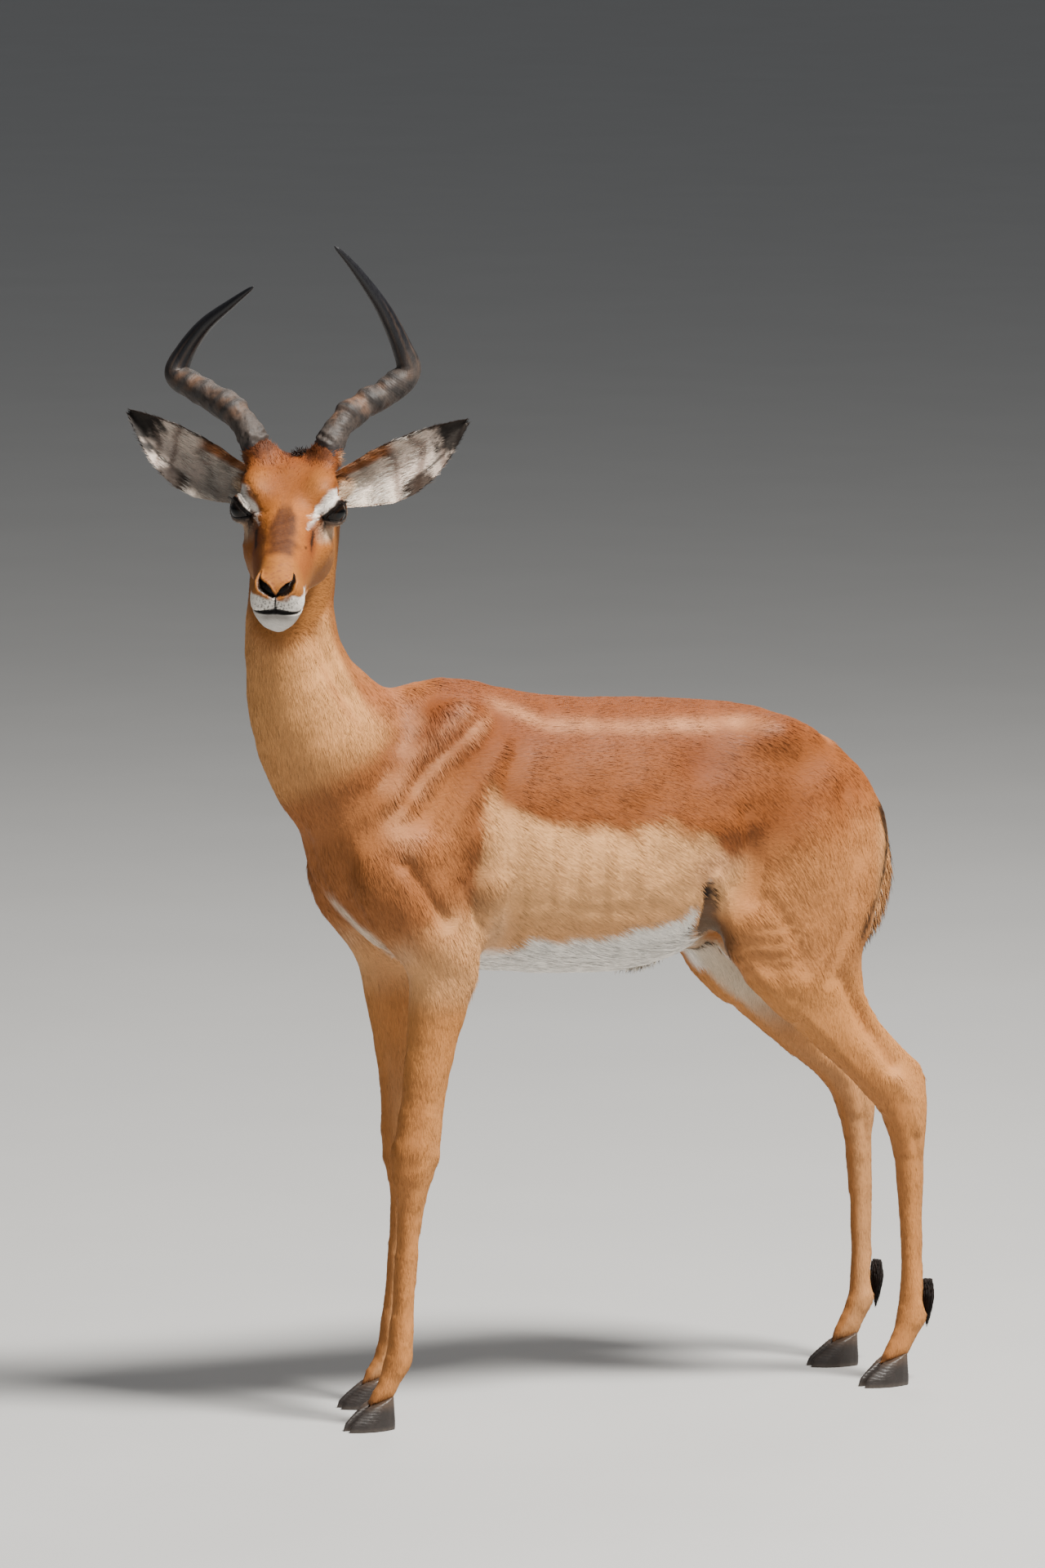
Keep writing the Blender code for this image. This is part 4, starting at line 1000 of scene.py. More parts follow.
def face_colour(points, normals):
    """The face's colours and markings, and how far each point is bare skin."""
    m = face_marks(points)
    side, forward, up, local = m["side"], m["forward"], m["up"], m["local"]
    way = to_head(normals)
    ragged = 0.0020 * wobble(points, 0.014, 21) + 0.0011 * wobble(points, 0.006, 22)

    def patch(f, o, u, rf, ro, ru, hard=0.35):
        d = np.sqrt(((forward - f) / rf) ** 2 + ((side - o) / ro) ** 2 + ((up - u) / ru) ** 2) + 60 * ragged
        return step(1 + hard, 1 - hard, d)

    # Golden forehead and cheeks, with rust round the horns.
    colour = blend(shade(156, 92, 38), shade(150, 96, 46), step(-0.06, -0.10, up))
    brown = step(0.135, 0.09, forward + 2 * ragged) * step(-0.060, -0.030, up)
    rust = step(0.070, 0.034, forward + 2 * ragged) * step(-0.034, -0.012, up)
    colour = blend(blend(colour, shade(124, 68, 25), 0.9 * brown), RUST, 0.75 * rust)
    colour = blend(colour, shade(136, 74, 34), 0.6 * patch(0.190, 0.028, -0.066, 0.040, 0.010, 0.014, 0.6))
    # The brown patch down the bridge of the nose, and the pale muzzle in front of it.
    bridge = step(1.45, 0.65, side / read(BRIDGE_HALF, forward) + 55 * ragged)
    bridge = bridge * step(0.106, 0.140, forward + ragged) * step(0.222, 0.200, forward)
    bridge = bridge * step(-0.085, -0.06, up)
    colour = blend(colour, shade(164, 104, 50), 0.50 * patch(0.096, 0.036, -0.010, 0.030, 0.012, 0.014, 0.7))
    mottled = 0.92 + 0.07 * wobble(points, 0.0028, 28)
    colour = blend(colour, shade(52, 24, 11), 0.90 * bridge * mottled)
    colour = blend(colour, shade(152, 95, 41), 0.85 * step(0.204, 0.222, forward) * step(-0.088, -0.072, up))
    # White brows, the grey and cream below the eye, and the dark glands before it.
    brow, along = along_line(local, BROW)
    wide = read(BROW_HALF, along)
    colour = blend(colour, shade(238, 230, 220), 0.93 * step(1.5, 0.6, (brow + 0.7 * ragged) / wide))
    below = step(0.0145, 0.004, -m["lids"]) * step(0.001, -0.003, m["eye_y"]) * (m["eye_far"] < 0.034)
    cream = along_line(local, CREAM)[0]
    colour = blend(colour, shade(202, 176, 148), 0.80 * near_line(cream + ragged, 0.0095, 0.9))
    colour = blend(colour, shade(84, 76, 69), 0.9 * below)
    speck = step(0.35, 0.9, wobble(points, 0.0032, 26))
    colour = blend(colour, shade(36, 28, 24), 0.6 * speck * below)
    flat = local * (0.35, 1, 1)
    gland = along_line(flat, GLAND)[0]
    colour = blend(colour, shade(128, 66, 28), 0.85 * near_line(gland + ragged, 0.0120, 0.7))
    colour = blend(colour, shade(34, 20, 12), 0.94 * near_line(gland + 0.8 * ragged, 0.0036, 0.6))
    spot = np.linalg.norm(flat - GLAND_SPOT, axis=1) + (m["out"] < 0.015)
    colour = blend(colour, BLACK, 0.9 * near_line(spot, 0.0019, 0.4))
    # A dark streak behind the eye, towards the ear: painted shadow between brow and ear.
    colour = blend(colour, shade(30, 22, 18), 0.95 * patch(0.020, 0.0590, -0.0450, 0.0160, 0.020, 0.0090))
    colour = blend(colour, shade(196, 164, 132), 0.8 * step(0.050, 0.058, side) * step(0.050, 0.036, forward))
    # Lips and chin.
    over_mouth = up - m["mouth_up"]
    lip_edge = -0.0765 - 0.20 * np.maximum(0.246 - forward, 0) - 0.15 * np.maximum(side - 0.018, 0)
    lip = step(0.002, -0.003, up + ragged - lip_edge) * step(0.196, 0.222, forward + ragged)
    colour = blend(colour, WHITE, 0.95 * lip)
    # The chin: grey-white, partly dulled by painted shade, and browner at its sides, partly tan and partly
    # painted shade.
    chin = step(0.0, -0.006, over_mouth) * step(0.176, 0.205, forward + 2 * ragged)
    colour = blend(colour, shade(198, 193, 186), 0.95 * chin)
    colour = blend(colour, shade(150, 124, 98), 0.6 * chin * step(0.018, 0.032, side + ragged))
    # Darker grey at the top of the chin, on the lower lip: painted shadow beneath the upper lip.
    lower_lip_shadow = chin * step(-0.016, -0.006, over_mouth) * step(0.024, 0.010, side)
    colour = blend(colour, shade(96, 90, 86), 0.65 * lower_lip_shadow)
    throat = step(-0.5, -0.9, way[:, 2]) * step(0.05, 0.10, forward)
    colour = blend(colour, shade(208, 184, 152), 0.5 * throat * step(0.205, 0.17, forward))
    speckle = step(0.45, 0.75, wobble(points, 0.0017, 25)) * lip
    speckle = speckle * step(0.034, 0.016, side) * step(-0.0015, 0.002, over_mouth)
    colour = blend(colour, shade(40, 34, 32), 0.85 * speckle)
    pad = step(0.25, 0.85, wobble(points, 0.0030, 27)) * step(0.205, 0.235, forward)
    colour = blend(colour, shade(120, 66, 38), 0.6 * pad * step(0.022, 0.014, side) * (1 - lip))
    # Black: lids, nostrils, the line to the lip, and the mouth.
    rim = np.where(m["eye_y"] > 0, 0.0046, 0.0019)
    edge = step(-1.25, -0.8, (m["lids"] + 0.25 * ragged) / rim) * (m["eye_far"] < 0.032)
    colour = blend(colour, BLACK, 0.97 * edge)
    corner, along = along_line(local, EYE_CORNER)
    colour = blend(colour, BLACK, 0.95 * step(1.3, 0.8, corner / (0.0034 - 0.0024 * along)))
    nose = step(0.0006, -0.0006, m["nostril"] + 0.2 * ragged)
    split = 0.0010 + 0.0014 * step(-0.086, -0.095, up)
    nose = np.maximum(nose, step(1.4, 0.8, m["philtrum"] / split))
    # The mouth: a black band, widest in the middle: black lips, with the shade in the parting between them
    # painted in.
    thick = 0.0036 - 0.0026 * step(0.004, 0.030, side)
    mouth = step(1.4, 0.8, m["mouth"] / thick) * step(0.185, 0.205, forward)
    black = np.maximum(nose * step(0.20, 0.22, forward), mouth)
    colour = blend(colour, BLACK, 0.98 * black)
    lids = step(-0.0030, -0.0012, m["lids"]) * (m["eye_far"] < 0.030)
    bare = np.maximum(nose * step(0.21, 0.23, forward), np.maximum(mouth, lids))
    # Dark hair in the notch between the horns and round their roots.
    notch = patch(0.022, 0.004, -0.001, 0.012, 0.012, 0.014, 0.5)
    colour = blend(colour, shade(62, 30, 16), 0.85 * notch)
    round_horn = np.minimum(np.linalg.norm(local - (*HORN_BASE[:2], -0.002), axis=1) / 0.0225, 3)
    colour = blend(colour, shade(72, 38, 20), 0.75 * step(1.2, 0.9, round_horn + 60 * ragged))
    return colour, np.clip(bare, 0, 1)


def ear_waves(s, t, sign):
    """The turn, in radians, of the waves that the ear's white hair lies in."""
    return 2 * math.pi * (5.0 * s + 0.55 * np.abs(t + 0.4 * sign))


def ear_notch(s, lower):
    """Under 1 in the dark notch at the ear's lower edge."""
    return np.hypot((s - 0.50) / 0.13, (lower - 0.92) / 0.42)


def ear_colour(points, spots):
    s, t, inner, which = spots.T
    sign = np.where(which == 1, 1, -1)
    lower = t * sign
    ragged = 0.035 * wobble(points, 0.010, 31) + 0.02 * wobble(points, 0.004, 32)
    outside = blend(shade(156, 92, 46), shade(116, 68, 38), step(0.35, 0.75, s))
    inside = blend(shade(228, 212, 198), shade(212, 194, 180), step(0.22, 0.42, s))
    inside = blend(inside, shade(214, 200, 184), 0.8 * step(0.2, 0.5, lower) * step(0.40, 0.30, s))
    waves = np.sin(ear_waves(s, t, sign) + 1.5 * wobble(points, 0.03, 33))
    inside = blend(inside, shade(104, 80, 68), 0.70 * step(0.2, 0.9, waves) * step(0.20, 0.36, s))
    # The rolled upper edge near the base shows the back's orange.
    inside = blend(inside, shade(164, 98, 48), step(-0.50, -0.68, lower + ragged) * step(0.50, 0.38, s))
    colour = np.where(inner[:, None] > 0.5, inside, outside)
    tip = step(0.72, 0.81, s + ragged)
    rim = step(0.84, 0.94, np.abs(t) + ragged) * step(0.12, 0.3, s) * step(0.6, 0.0, lower)
    notch = step(1.15, 0.8, ear_notch(s, lower) + 1.5 * ragged)
    line = step(0.09, 0.05, np.abs(lower - 0.60 + 0.5 * ragged)) * step(0.53, 0.57, s) * inner
    colour = blend(colour, BLACK, 0.96 * np.maximum(tip, 0.85 * line))
    return blend(colour, shade(38, 24, 14), 0.92 * np.maximum(rim, notch))


def markings(points, normals, weights, spots):
    """The coat's colour and how far the skin is bare, for any points on the skin. Skin and coat both use it."""
    colour = body_colour(points, normals, weights)
    bare = np.zeros(len(points))
    index = np.nonzero((weights[:, 0] > 0.01) & (spots[:, 3] == 0))[0]
    face, skin = face_colour(points[index], normals[index])
    share = step(0.15, 0.85, weights[index, 0])
    colour[index] = blend(colour[index], face, share)
    bare[index] = skin * share
    ears = np.nonzero(spots[:, 3] > 0)[0]
    if len(ears):
        colour[ears] = ear_colour(points[ears], spots[ears])
    return np.clip(colour, 0.001, 1), bare


# The lie of the coat.
def lie_of_coat(points, normals, weights, spots):
    """The way the hair points, along the surface, at each point."""
    forward, up = -points[:, 1], points[:, 2]
    count = len(points)

    def way(x, y, z):
        return np.stack([np.broadcast_to(part, count) for part in (x, y, z)], 1).astype(float)

    low = step(0.83, 0.68, up)
    trunk = way(0, 1, -0.75 * low)
    shoulder = step(0.17, 0.30, forward)[:, None]
    trunk = trunk * (1 - shoulder) + way(0, 0.45, -1) * shoulder
    under = step(-0.5, -0.9, normals[:, 2])[:, None]
    trunk = trunk * (1 - under) + way(0, 1, 0) * under
    thigh = step(-0.10, -0.22, forward)
    rump = way(0, 1 - 0.55 * thigh * low, -0.35 - 0.75 * low)
    hind = way(0, 0.10 + 0.25 * step(0.4, 0.5, up), -1)
    total = np.zeros((count, 3))
    for k, flow in enumerate((way(0, 0.22, -1), trunk, rump, way(0, 0.1, -1), way(0, 0.1, -1), hind), 1):
        total += flow * weights[:, k, None]
    out, ahead, _ = head_local(points)
    local = to_head(normals)
    cheek = step(0.3, 0.8, np.abs(local[:, 0]))
    parting = 0.35 * np.sign(out) * step(0.2, 0.6, local[:, 2]) * step(0.16, 0.06, ahead)
    face = np.stack([parting, -np.ones(count), -0.42 * cheek], 1)
    total += from_head(unit(face)) * weights[:, 0, None]
    for number, side in enumerate(SIDES):
        mine = spots[:, 3] == number + 1
        axis, _, across = ear_frame(side)
        total[mine] = turned(axis + across * (0.45 * spots[mine, 1])[:, None])
    total += 0.06 * np.stack([wobble(points, 0.09, seed) for seed in (41, 42, 43)], 1)
    total = total - normals * dot(total, normals)[:, None]
    return unit(total)


class Skin:
    """The finished skin: its points, triangles and all that the coat reads from it."""

    def __init__(self, mesh, weights, spots):
        self.points, self.triangles, _ = read_mesh(mesh)
        self.normals = point_normals(self.points, self.triangles)
        self.weights, self.spots = weights, spots
        a, b, c = (self.points[self.triangles[:, k]] for k in range(3))
        self.areas = np.linalg.norm(np.cross(b - a, c - a), axis=1) / 2
        self.middles = (a + b + c) / 3
        self.ear = spots[self.triangles[:, 0], 3]
        self.group = np.where(self.ear > 0, 7, weights[self.triangles].sum(1).argmax(1))

    def scatter(self, chosen, count, density=None):
        """Evenly spread places on the chosen triangles, with all that is known of the skin there."""
        areas = self.areas * chosen
        if density is not None:
            areas = areas * density
        heap = np.cumsum(areas)
        picks = (np.arange(count) + rng.random(count)) / count * heap[-1]
        tri = np.minimum(np.searchsorted(heap, picks), len(heap) - 1)
        u, v = rng.random(count), rng.random(count)
        flip = u + v > 1
        u, v = np.where(flip, 1 - u, u), np.where(flip, 1 - v, v)
        shares = np.stack([1 - u - v, u, v], 1)
        corners = self.triangles[tri]

        def mixed(values):
            return (values[corners] * shares[:, :, None]).sum(1)

        spots = mixed(self.spots)
        spots[:, 3] = self.ear[tri]
        return mixed(self.points), unit(mixed(self.normals)), mixed(self.weights), spots


# Middle lines that the maps are unrolled round: up along the trunk by how far forward, and forward by height.
TRUNK_AXIS = ((-0.3, 0.66), (-0.1, 0.67), (0.1, 0.68), (0.4, 0.70))
NECK_AXIS = ((0.62, 0.32), (0.735, 0.326), (0.79, 0.386), (0.845, 0.425), (0.905, 0.447), (1.10, 0.450))
# The ends of the maps that several sets of longer hair share. Those of the ears are spots, the others places.
MAP_ENDS = {
    "head": np.array([HEAD @ place(-0.03, -0.055, -0.15), HEAD @ place(0.27, 0.055, 0.0)]),
    "low": np.array([[-0.11, 0, 0.03], [0.11, 0, 0.75]]),
    "ears": np.array([[-0.06, -1.0, 0.0, 1.0], [1.0, 1.0, 1.0, 2.0]]),
}


def map_places(kind, points, spots):
    """Where each root lies on an unrolled map of its part of the skin, in 0 to 1."""
    forward, up = -points[:, 1], points[:, 2]
    if kind == "flank":
        middle = read(TRUNK_AXIS, forward)
        made = np.stack([forward, np.arctan2(np.abs(points[:, 0]), up - middle)], 1)
    elif kind == "neck":
        middle = read(NECK_AXIS, up)
        made = np.stack([np.arctan2(points[:, 0], forward - middle), up], 1)
    elif kind == "head":
        out, ahead, above = head_local(points)
        made = np.stack([np.arctan2(out, above + 0.075), ahead], 1)
    elif kind == "ears":
        s, t, inner, which = spots.T
        made = np.stack([t * 0.45 + (which - 1) * 1.1, s + 1.2 * (inner > 0.5)], 1)
    elif kind == "legs":
        ahead, outward = limb_marks(points, forward > 0)
        made = np.stack([np.arctan2(outward, ahead) / 6.8 + (points[:, 0] > 0), up], 1)
    else:
        made = np.stack([points[:, 0], up], 1)
    lowest, highest = made.min(0), made.max(0)
    return 0.012 + 0.976 * (made - lowest) / np.maximum(highest - lowest, 1e-6)


def shared_places(kind, points, spots):
    """Map places for one of several sets of hair on the same map, which its two ends hold in place."""
    if kind == "ears":
        points, spots = np.concatenate([points, points[:2]]), np.concatenate([spots, MAP_ENDS[kind]])
    else:
        points = np.concatenate([points, MAP_ENDS[kind]])
    return map_places(kind, points, spots)[:-2]


# How far a tuft's corners lie apart on the map, how round a tuft is shaded, and how many rings a lock has.
PATCH = 0.0015
TUFT_ROUND = 0.22
LOCK_RINGS = 3


class Hair:
    """Gathers tufts and locks, and joins them into one piece."""

    def __init__(self):
        self.points, self.normals, self.faces, self.tint, self.strand, self.places = [], [], [], [], [], []
        self.count = 0

    def add(self, points, normals, faces, tint, strand, places):
        self.points.append(points)
        self.normals.append(normals)
        self.faces.append(faces + self.count)
        self.tint.append(tint)
        self.strand.append(strand)
        self.places.append(places)
        self.count += len(points)

    def tufts(self, roots, normals, ways, length, width, lift, tint, places):
        """Short flat tufts, each a thin closed wedge that lies along the skin."""
        count = len(roots)
        vary = rng.random(count)
        side = np.cross(normals, ways)
        rise = np.sin(lift)[:, None]
        sink = normals * 0.0004
        half = side * (width / 2)[:, None]
        middle = roots + ways * (0.38 * length)[:, None] + normals * (0.38 * length)[:, None] * rise
        middle = middle + normals * (0.10 * width)[:, None]
        bend = side * (length * rng.normal(0, 0.035, count))[:, None]
        tip = roots + ways * length[:, None] + normals * (0.8 * length)[:, None] * rise + bend
        points = np.stack([roots - half - sink, roots + half - sink, middle, tip], 1).reshape(-1, 3)
        base = (np.arange(count) * 4)[:, None, None]
        faces = (np.array([[0, 3, 2], [2, 3, 1], [1, 0, 2], [0, 1, 3]])[None] + base).reshape(-1, 3)
        along = np.tile([0.0, 0.0, 0.5, 1.0], count)
        strand = np.stack([np.repeat(vary, 4), along, np.zeros(count * 4)], 1)
        spot = np.array([[-1, -1], [1, -1], [0.1, 0.0], [0, 1]]) * PATCH
        tilt = side * TUFT_ROUND
        shading = np.stack([normals - tilt, normals + tilt, normals, normals + 0.12 * ways], 1).reshape(-1, 3)
        places = (places[:, None] + spot[None]).reshape(-1, 2)
        self.add(points, unit(shading), faces, np.repeat(tint, 4, axis=0), strand, places)

    def locks(self, kind, roots, ways, bends, length, width, tint, spots=None):
        """Longer tapering locks with three sides, bending as they go."""
        count = len(roots)
        vary = rng.random(count)
        side = unit(np.cross(ways, bends + 1e-6 * np.array([1, 2, 3])))
        above = np.cross(side, ways)
        rows, marks, where = [], [], []
        for k in range(LOCK_RINGS):
            t = k / LOCK_RINGS
            middle = roots + ways * (length * t)[:, None] + bends * (length * t * t)[:, None]
            thick = width / 2 * (1 - 0.75 * t) * (0.75 if k == 0 else 1)
            for j in range(3):
                a = 2 * math.pi * j / 3 + math.pi / 2
                rows.append(middle + side * thick * math.cos(a) + above * thick * 0.55 * math.sin(a))
                marks.append(t)
                where.append(((j - 1) * 0.9 * (1 - 0.5 * t), 2 * t - 1))
        rows.append(roots + ways * length[:, None] + bends * length[:, None])
        marks.append(1.0)
        where.append((0, 1))
        size = len(rows)
        points = np.stack(rows, 1).reshape(-1, 3)
        faces = [[0, 2, 1]]
        for k in range(LOCK_RINGS - 1):
            for j in range(3):
                a, b, c, d = 3 * k + j, 3 * k + (j + 1) % 3, 3 * k + 3 + (j + 1) % 3, 3 * k + 3 + j
                faces += [[a, b, c], [a, c, d]]
        last = 3 * (LOCK_RINGS - 1)
        faces += [[last + j, last + (j + 1) % 3, size - 1] for j in range(3)]
        faces = (np.array(faces)[None, :, ::-1] + (np.arange(count) * size)[:, None, None]).reshape(-1, 3)
        strand = np.stack([np.repeat(vary, size), np.tile(marks, count), np.zeros(count * size)], 1)
        places = (shared_places(kind, roots, spots)[:, None] + np.array(where) * PATCH).reshape(-1, 2)
        self.add(points, 0 * points, faces, np.repeat(tint, size, axis=0), strand, places)

    def build(self, name, material, replaced=()):
        points, faces = np.concatenate(self.points), np.concatenate(self.faces)
        mesh = make_mesh(name, points, faces)
        set_vectors(mesh, "tint", np.concatenate(self.tint))
        set_vectors(mesh, "strand", np.concatenate(self.strand))
        layer = mesh.uv_layers.new(name="OFBake")
        places = np.concatenate(self.places).astype(np.float32)
        layer.uv.foreach_set("vector", places[faces.ravel()].ravel())
        set_smooth(mesh)
        mesh.normals_split_custom_set_from_vertices(np.concatenate(self.normals).tolist())
        piece(name, mesh, material, replaced)


# How long and wide tufts are, and how far they stand off, by group: length, width, lift in degrees.
TUFTS = {"head": (0.0054, 0.00070, 2.4), "neck": (0.0120, 0.00100, 2.6), "trunk": (0.0130, 0.00105, 2.4),
         "rump": (0.0125, 0.00105, 2.4), "tail": (0.016, 0.0010, 6), "fore": (0.0080, 0.00085, 2.6),
         "hind": (0.0080, 0.00085, 2.6)}
EAR_TUFT_LENGTH, EAR_TUFT_WIDTH = 0.0055, 0.0008


def tuft_sizes(points, weights):
    """Each tuft's length, width and lift: longer on belly and crown, and shorter on feet and muzzle."""
    table = np.array([TUFTS[g] for g in GROUPS])
    sizes = weights @ table / np.maximum(weights.sum(1), 1e-6)[:, None]
    count = len(points)
    length = sizes[:, 0] * (1 + 0.22 * rng.normal(size=count)).clip(0.5, 1.6)
    width = sizes[:, 1] * (1 + 0.2 * rng.normal(size=count)).clip(0.5, 1.6)
    lift = np.radians(sizes[:, 2] * (1 + 0.4 * rng.normal(size=count)).clip(0.2, 2.2))
    up, forward = points[:, 2], -points[:, 1]
    belly = step(0.575, 0.545, up) * weights[:, 2] * step(0.3, 0.25, forward)
    length = length * (1 + 0.5 * belly) * (1 - 0.35 * step(0.16, 0.06, up))
    lift = lift * (1 + 0.8 * belly)
    _, ahead, above = head_local(points)
    muzzle = step(0.14, 0.24, ahead) * weights[:, 0]
    length = length * (1 - 0.50 * muzzle)
    width = width * (1 - 0.25 * muzzle)
    crown = step(0.08, 0.03, ahead) * step(-0.05, -0.02, above) * weights[:, 0]
    length = length * (1 + 0.8 * crown)
    lift = lift * (1 + 1.2 * crown)
    return length, width, lift


def coat_piece(skin, name, chosen, count, kind, material, density=None, more=None):
    """Short coat over the chosen triangles."""
    hair = Hair()
    points, normals, weights, spots = skin.scatter(chosen, count, density)
    tint, bare = markings(points, normals, weights, spots)
    keep = bare < 0.25
    points, normals, weights, spots, tint = (x[keep] for x in (points, normals, weights, spots, tint))
    ways = lie_of_coat(points, normals, weights, spots)
    length, width, lift = tuft_sizes(points, weights)
    if kind == "ears":
        length = EAR_TUFT_LENGTH * (0.7 + 0.6 * rng.random(len(points)))
        width = np.full(len(points), EAR_TUFT_WIDTH)
        lift = np.radians(3 + 3 * rng.random(len(points)))
    swing = np.radians(5) * rng.normal(size=len(points))
    side = np.cross(normals, ways)
    ways = unit(ways + side * np.tan(swing)[:, None])
    places = map_places(kind, points, spots)
    # A few hairs are darker, most of all on the forehead.
    _, ahead, above = head_local(points)
    forehead = step(0.20, 0.12, ahead) * step(-0.070, -0.045, above)
    share = 0.12 - 0.04 * weights[:, 0] + 0.38 * weights[:, 0] * forehead
    chance = rng.random(len(points))
    tint = tint * (1 - 0.36 * (chance < share) + 0.12 * (chance > 0.85))[:, None]
    hair.tufts(points, normals, ways, length, width, lift, tint, places)
    if more:
        more(hair, skin)
    hair.build(name, material)


# Longer hair: in the ears, on the crown, lashes, tail, and the dark tufts above the hind feet.
def uneven(length, least, more, count):
    """Lengths from least to least + more times the given one."""
    return length * (least + more * rng.random(count))


def ear_hair(hair, skin):
    """White locks over each ear's inner face, and a fine fringe along both edges."""
    for number, side in enumerate(SIDES):
        sign = SIDES[side]
        chosen = (skin.ear == number + 1) & (skin.spots[skin.triangles[:, 0], 2] > 0.5)
        s = skin.spots[skin.triangles[:, 0], 0]
        density = 0.45 + 0.9 * step(0.50, 0.2, s)
        points, _, _, spots = skin.scatter(chosen & (s > -0.01) & (s < 0.80), 2750, density)
        axis, opening, across = (turned(v) for v in ear_frame(side))
        s, t = spots[:, 0], spots[:, 1]
        # The hair lies in waves that sweep down from the upper edge.
        lean = (sign * (0.35 + 0.75 * np.sin(ear_waves(s, t, sign))))[:, None]
        ways = axis + across * lean + opening * (0.10 + 0.22 * rng.random(len(s)))[:, None]
        ways = unit(ways + 0.10 * rng.normal(size=ways.shape))
        bends = axis * 0.10 - across * (0.8 * lean) - opening * 0.12
        length = uneven(0.0135, 0.6, 0.5, len(s)) * (1 - 0.55 * step(0.5, 0.74, s))
        tint = blend(shade(242, 235, 224), shade(132, 106, 90), step(0.66, 1.0, rng.random(len(s))))
        tint = blend(tint, shade(26, 20, 17), 0.95 * step(0.66, 0.74, s))
        tint = blend(tint, shade(44, 28, 18), 0.95 * step(1.1, 0.8, ear_notch(s, t * sign)))
        tint = blend(tint, shade(170, 110, 60), 0.9 * step(-0.50, -0.66, t * sign) * step(0.50, 0.40, s))
        hair.locks("ears", points, ways, bends, length, 0.00072, tint, spots)
        # The fringe.
        count = 400
        s = 0.08 + 0.72 * rng.random(count)
        t = np.where(rng.random(count) < 0.5, 1.0, -1.0) * 0.97
        roots = ear_point(side, s, t, np.zeros(count))
        ways = unit(axis * 0.9 + across * (0.14 * t)[:, None] + 0.08 * rng.normal(size=(count, 3)))
        spots = np.column_stack([s, t, np.zeros(count), np.full(count, number + 1.0)])
        hair.locks("ears", roots, ways, opening * 0.05, uneven(0.0036, 0.6, 0.6, count), 0.0006,
                   ear_colour(roots, spots), spots)


def crown_tufts(hair, skin, out, ahead, above):
    """Tufty hair on the crown that gathers towards the horns."""
    near_horn = np.hypot(np.abs(out) - HORN_BASE[0], ahead - HORN_BASE[1])
    chosen = (skin.group == 0) & (above > -0.035) & (ahead < 0.085) & (ahead > -0.02)
    between = step(0.022, 0.0, np.abs(out)) * step(0.052, 0.03, ahead)
    density = 0.10 + 2.0 * step(0.036, 0.024, near_horn) + 1.4 * between
    points, normals, weights, spots = skin.scatter(chosen, 3400, density)
    tint, _ = markings(points, normals, weights, spots)
    tint = tint * (1.15 - 0.45 * (rng.random(len(points)) < 0.25))[:, None]
    o, f, _ = head_local(points)
    ways = lie_of_coat(points, normals, weights, spots)
    toward = from_head(np.stack([HORN_BASE[0] * np.sign(o) - o, HORN_BASE[1] - f, np.full(len(o), 0.010)], 1))
    close = step(0.036, 0.020, np.hypot(np.abs(o) - HORN_BASE[0], f - HORN_BASE[1]))[:, None]
    ways = ways * (1 - 0.7 * close) + unit(toward) * 0.8 * close + normals * 0.22
    ways = unit(ways + 0.12 * rng.normal(size=ways.shape))
    bends = -normals * 0.16 + 0.10 * rng.normal(size=ways.shape)
    length = uneven(0.0078, 0.5, 0.6, len(o)) * (1 - 0.35 * step(0.05, 0.08, f))
    hair.locks("head", points, ways, bends, length, 0.0008, tint)


def dark_tuft(hair):
    """A ragged dark tuft beside the left horn."""
    count = 260
    away = rng.normal(size=(count, 3)) * (0.0052, 0.0040, 0.0014)
    roots = np.array(HEAD @ place(0.026, 0.0125, 0.0)) + from_head(away)
    ways = from_head(unit(np.array([-0.45, 0.1, 0.6]) + 0.40 * rng.normal(size=(count, 3))))
    tint = blend(shade(44, 24, 15), shade(20, 13, 10), rng.random(count))
    bends = 0.3 * rng.normal(size=(count, 3))
    hair.locks("head", roots, ways, bends, uneven(0.0052, 0.5, 0.7, count), 0.0016, tint)


def temple_hair(hair, skin, side, out, ahead, above):
    """Hair between the eye and the ear's root, swept towards the ear."""
    mine = (skin.group == 0) & (np.sign(out) == SIDES[side]) & (np.abs(out) > 0.046)
    mine = mine & (ahead < 0.040) & (ahead > -0.012) & (above > -0.080) & (above < -0.026)
    points, normals, _, _ = skin.scatter(mine, 420)
    ways = unit(turned(ear_frame(side)[0]) + normals * 0.25 + 0.14 * rng.normal(size=points.shape))
    tint = blend(shade(214, 192, 166), shade(150, 96, 52), step(-0.050, -0.038, head_local(points)[2]))
    tint = tint * (0.7 + 0.45 * rng.random((len(points), 1)))
    hair.locks("head", points, ways, -normals * 0.15, uneven(0.0125, 0.6, 0.5, len(points)), 0.0008, tint)


def lashes(hair, side):
    """A row of lashes along the upper lid."""
    middle, axis, along, rise = eye_frame(side)
    count, reach = 130, 0.0185
    x = np.linspace(-0.0150, 0.0150, count) + 0.0003 * rng.normal(size=count)
    y = LID_UPPER * np.clip(1 - (x / reach) ** 2, 0, 1) ** 0.85 * (1 - 0.38 * x / reach)
    a, b = x / EYE_RADIUS, y / EYE_RADIUS
    flat = np.cos(b)[:, None] * (np.cos(a)[:, None] * axis + np.sin(a)[:, None] * along)
    flat = flat + np.sin(b)[:, None] * rise
    roots = head_place(middle + flat * (EYE_RADIUS + 0.0014))
    ways = unit(flat + rise * 0.15 + along * (x / 0.03)[:, None] + 0.10 * rng.normal(size=flat.shape))
    length, black = uneven(0.0078, 0.6, 0.5, count), np.tile(shade(20, 15, 13), (count, 1))
    hair.locks("head", roots, from_head(ways), from_head(-rise * 0.35), length, 0.00065, black)


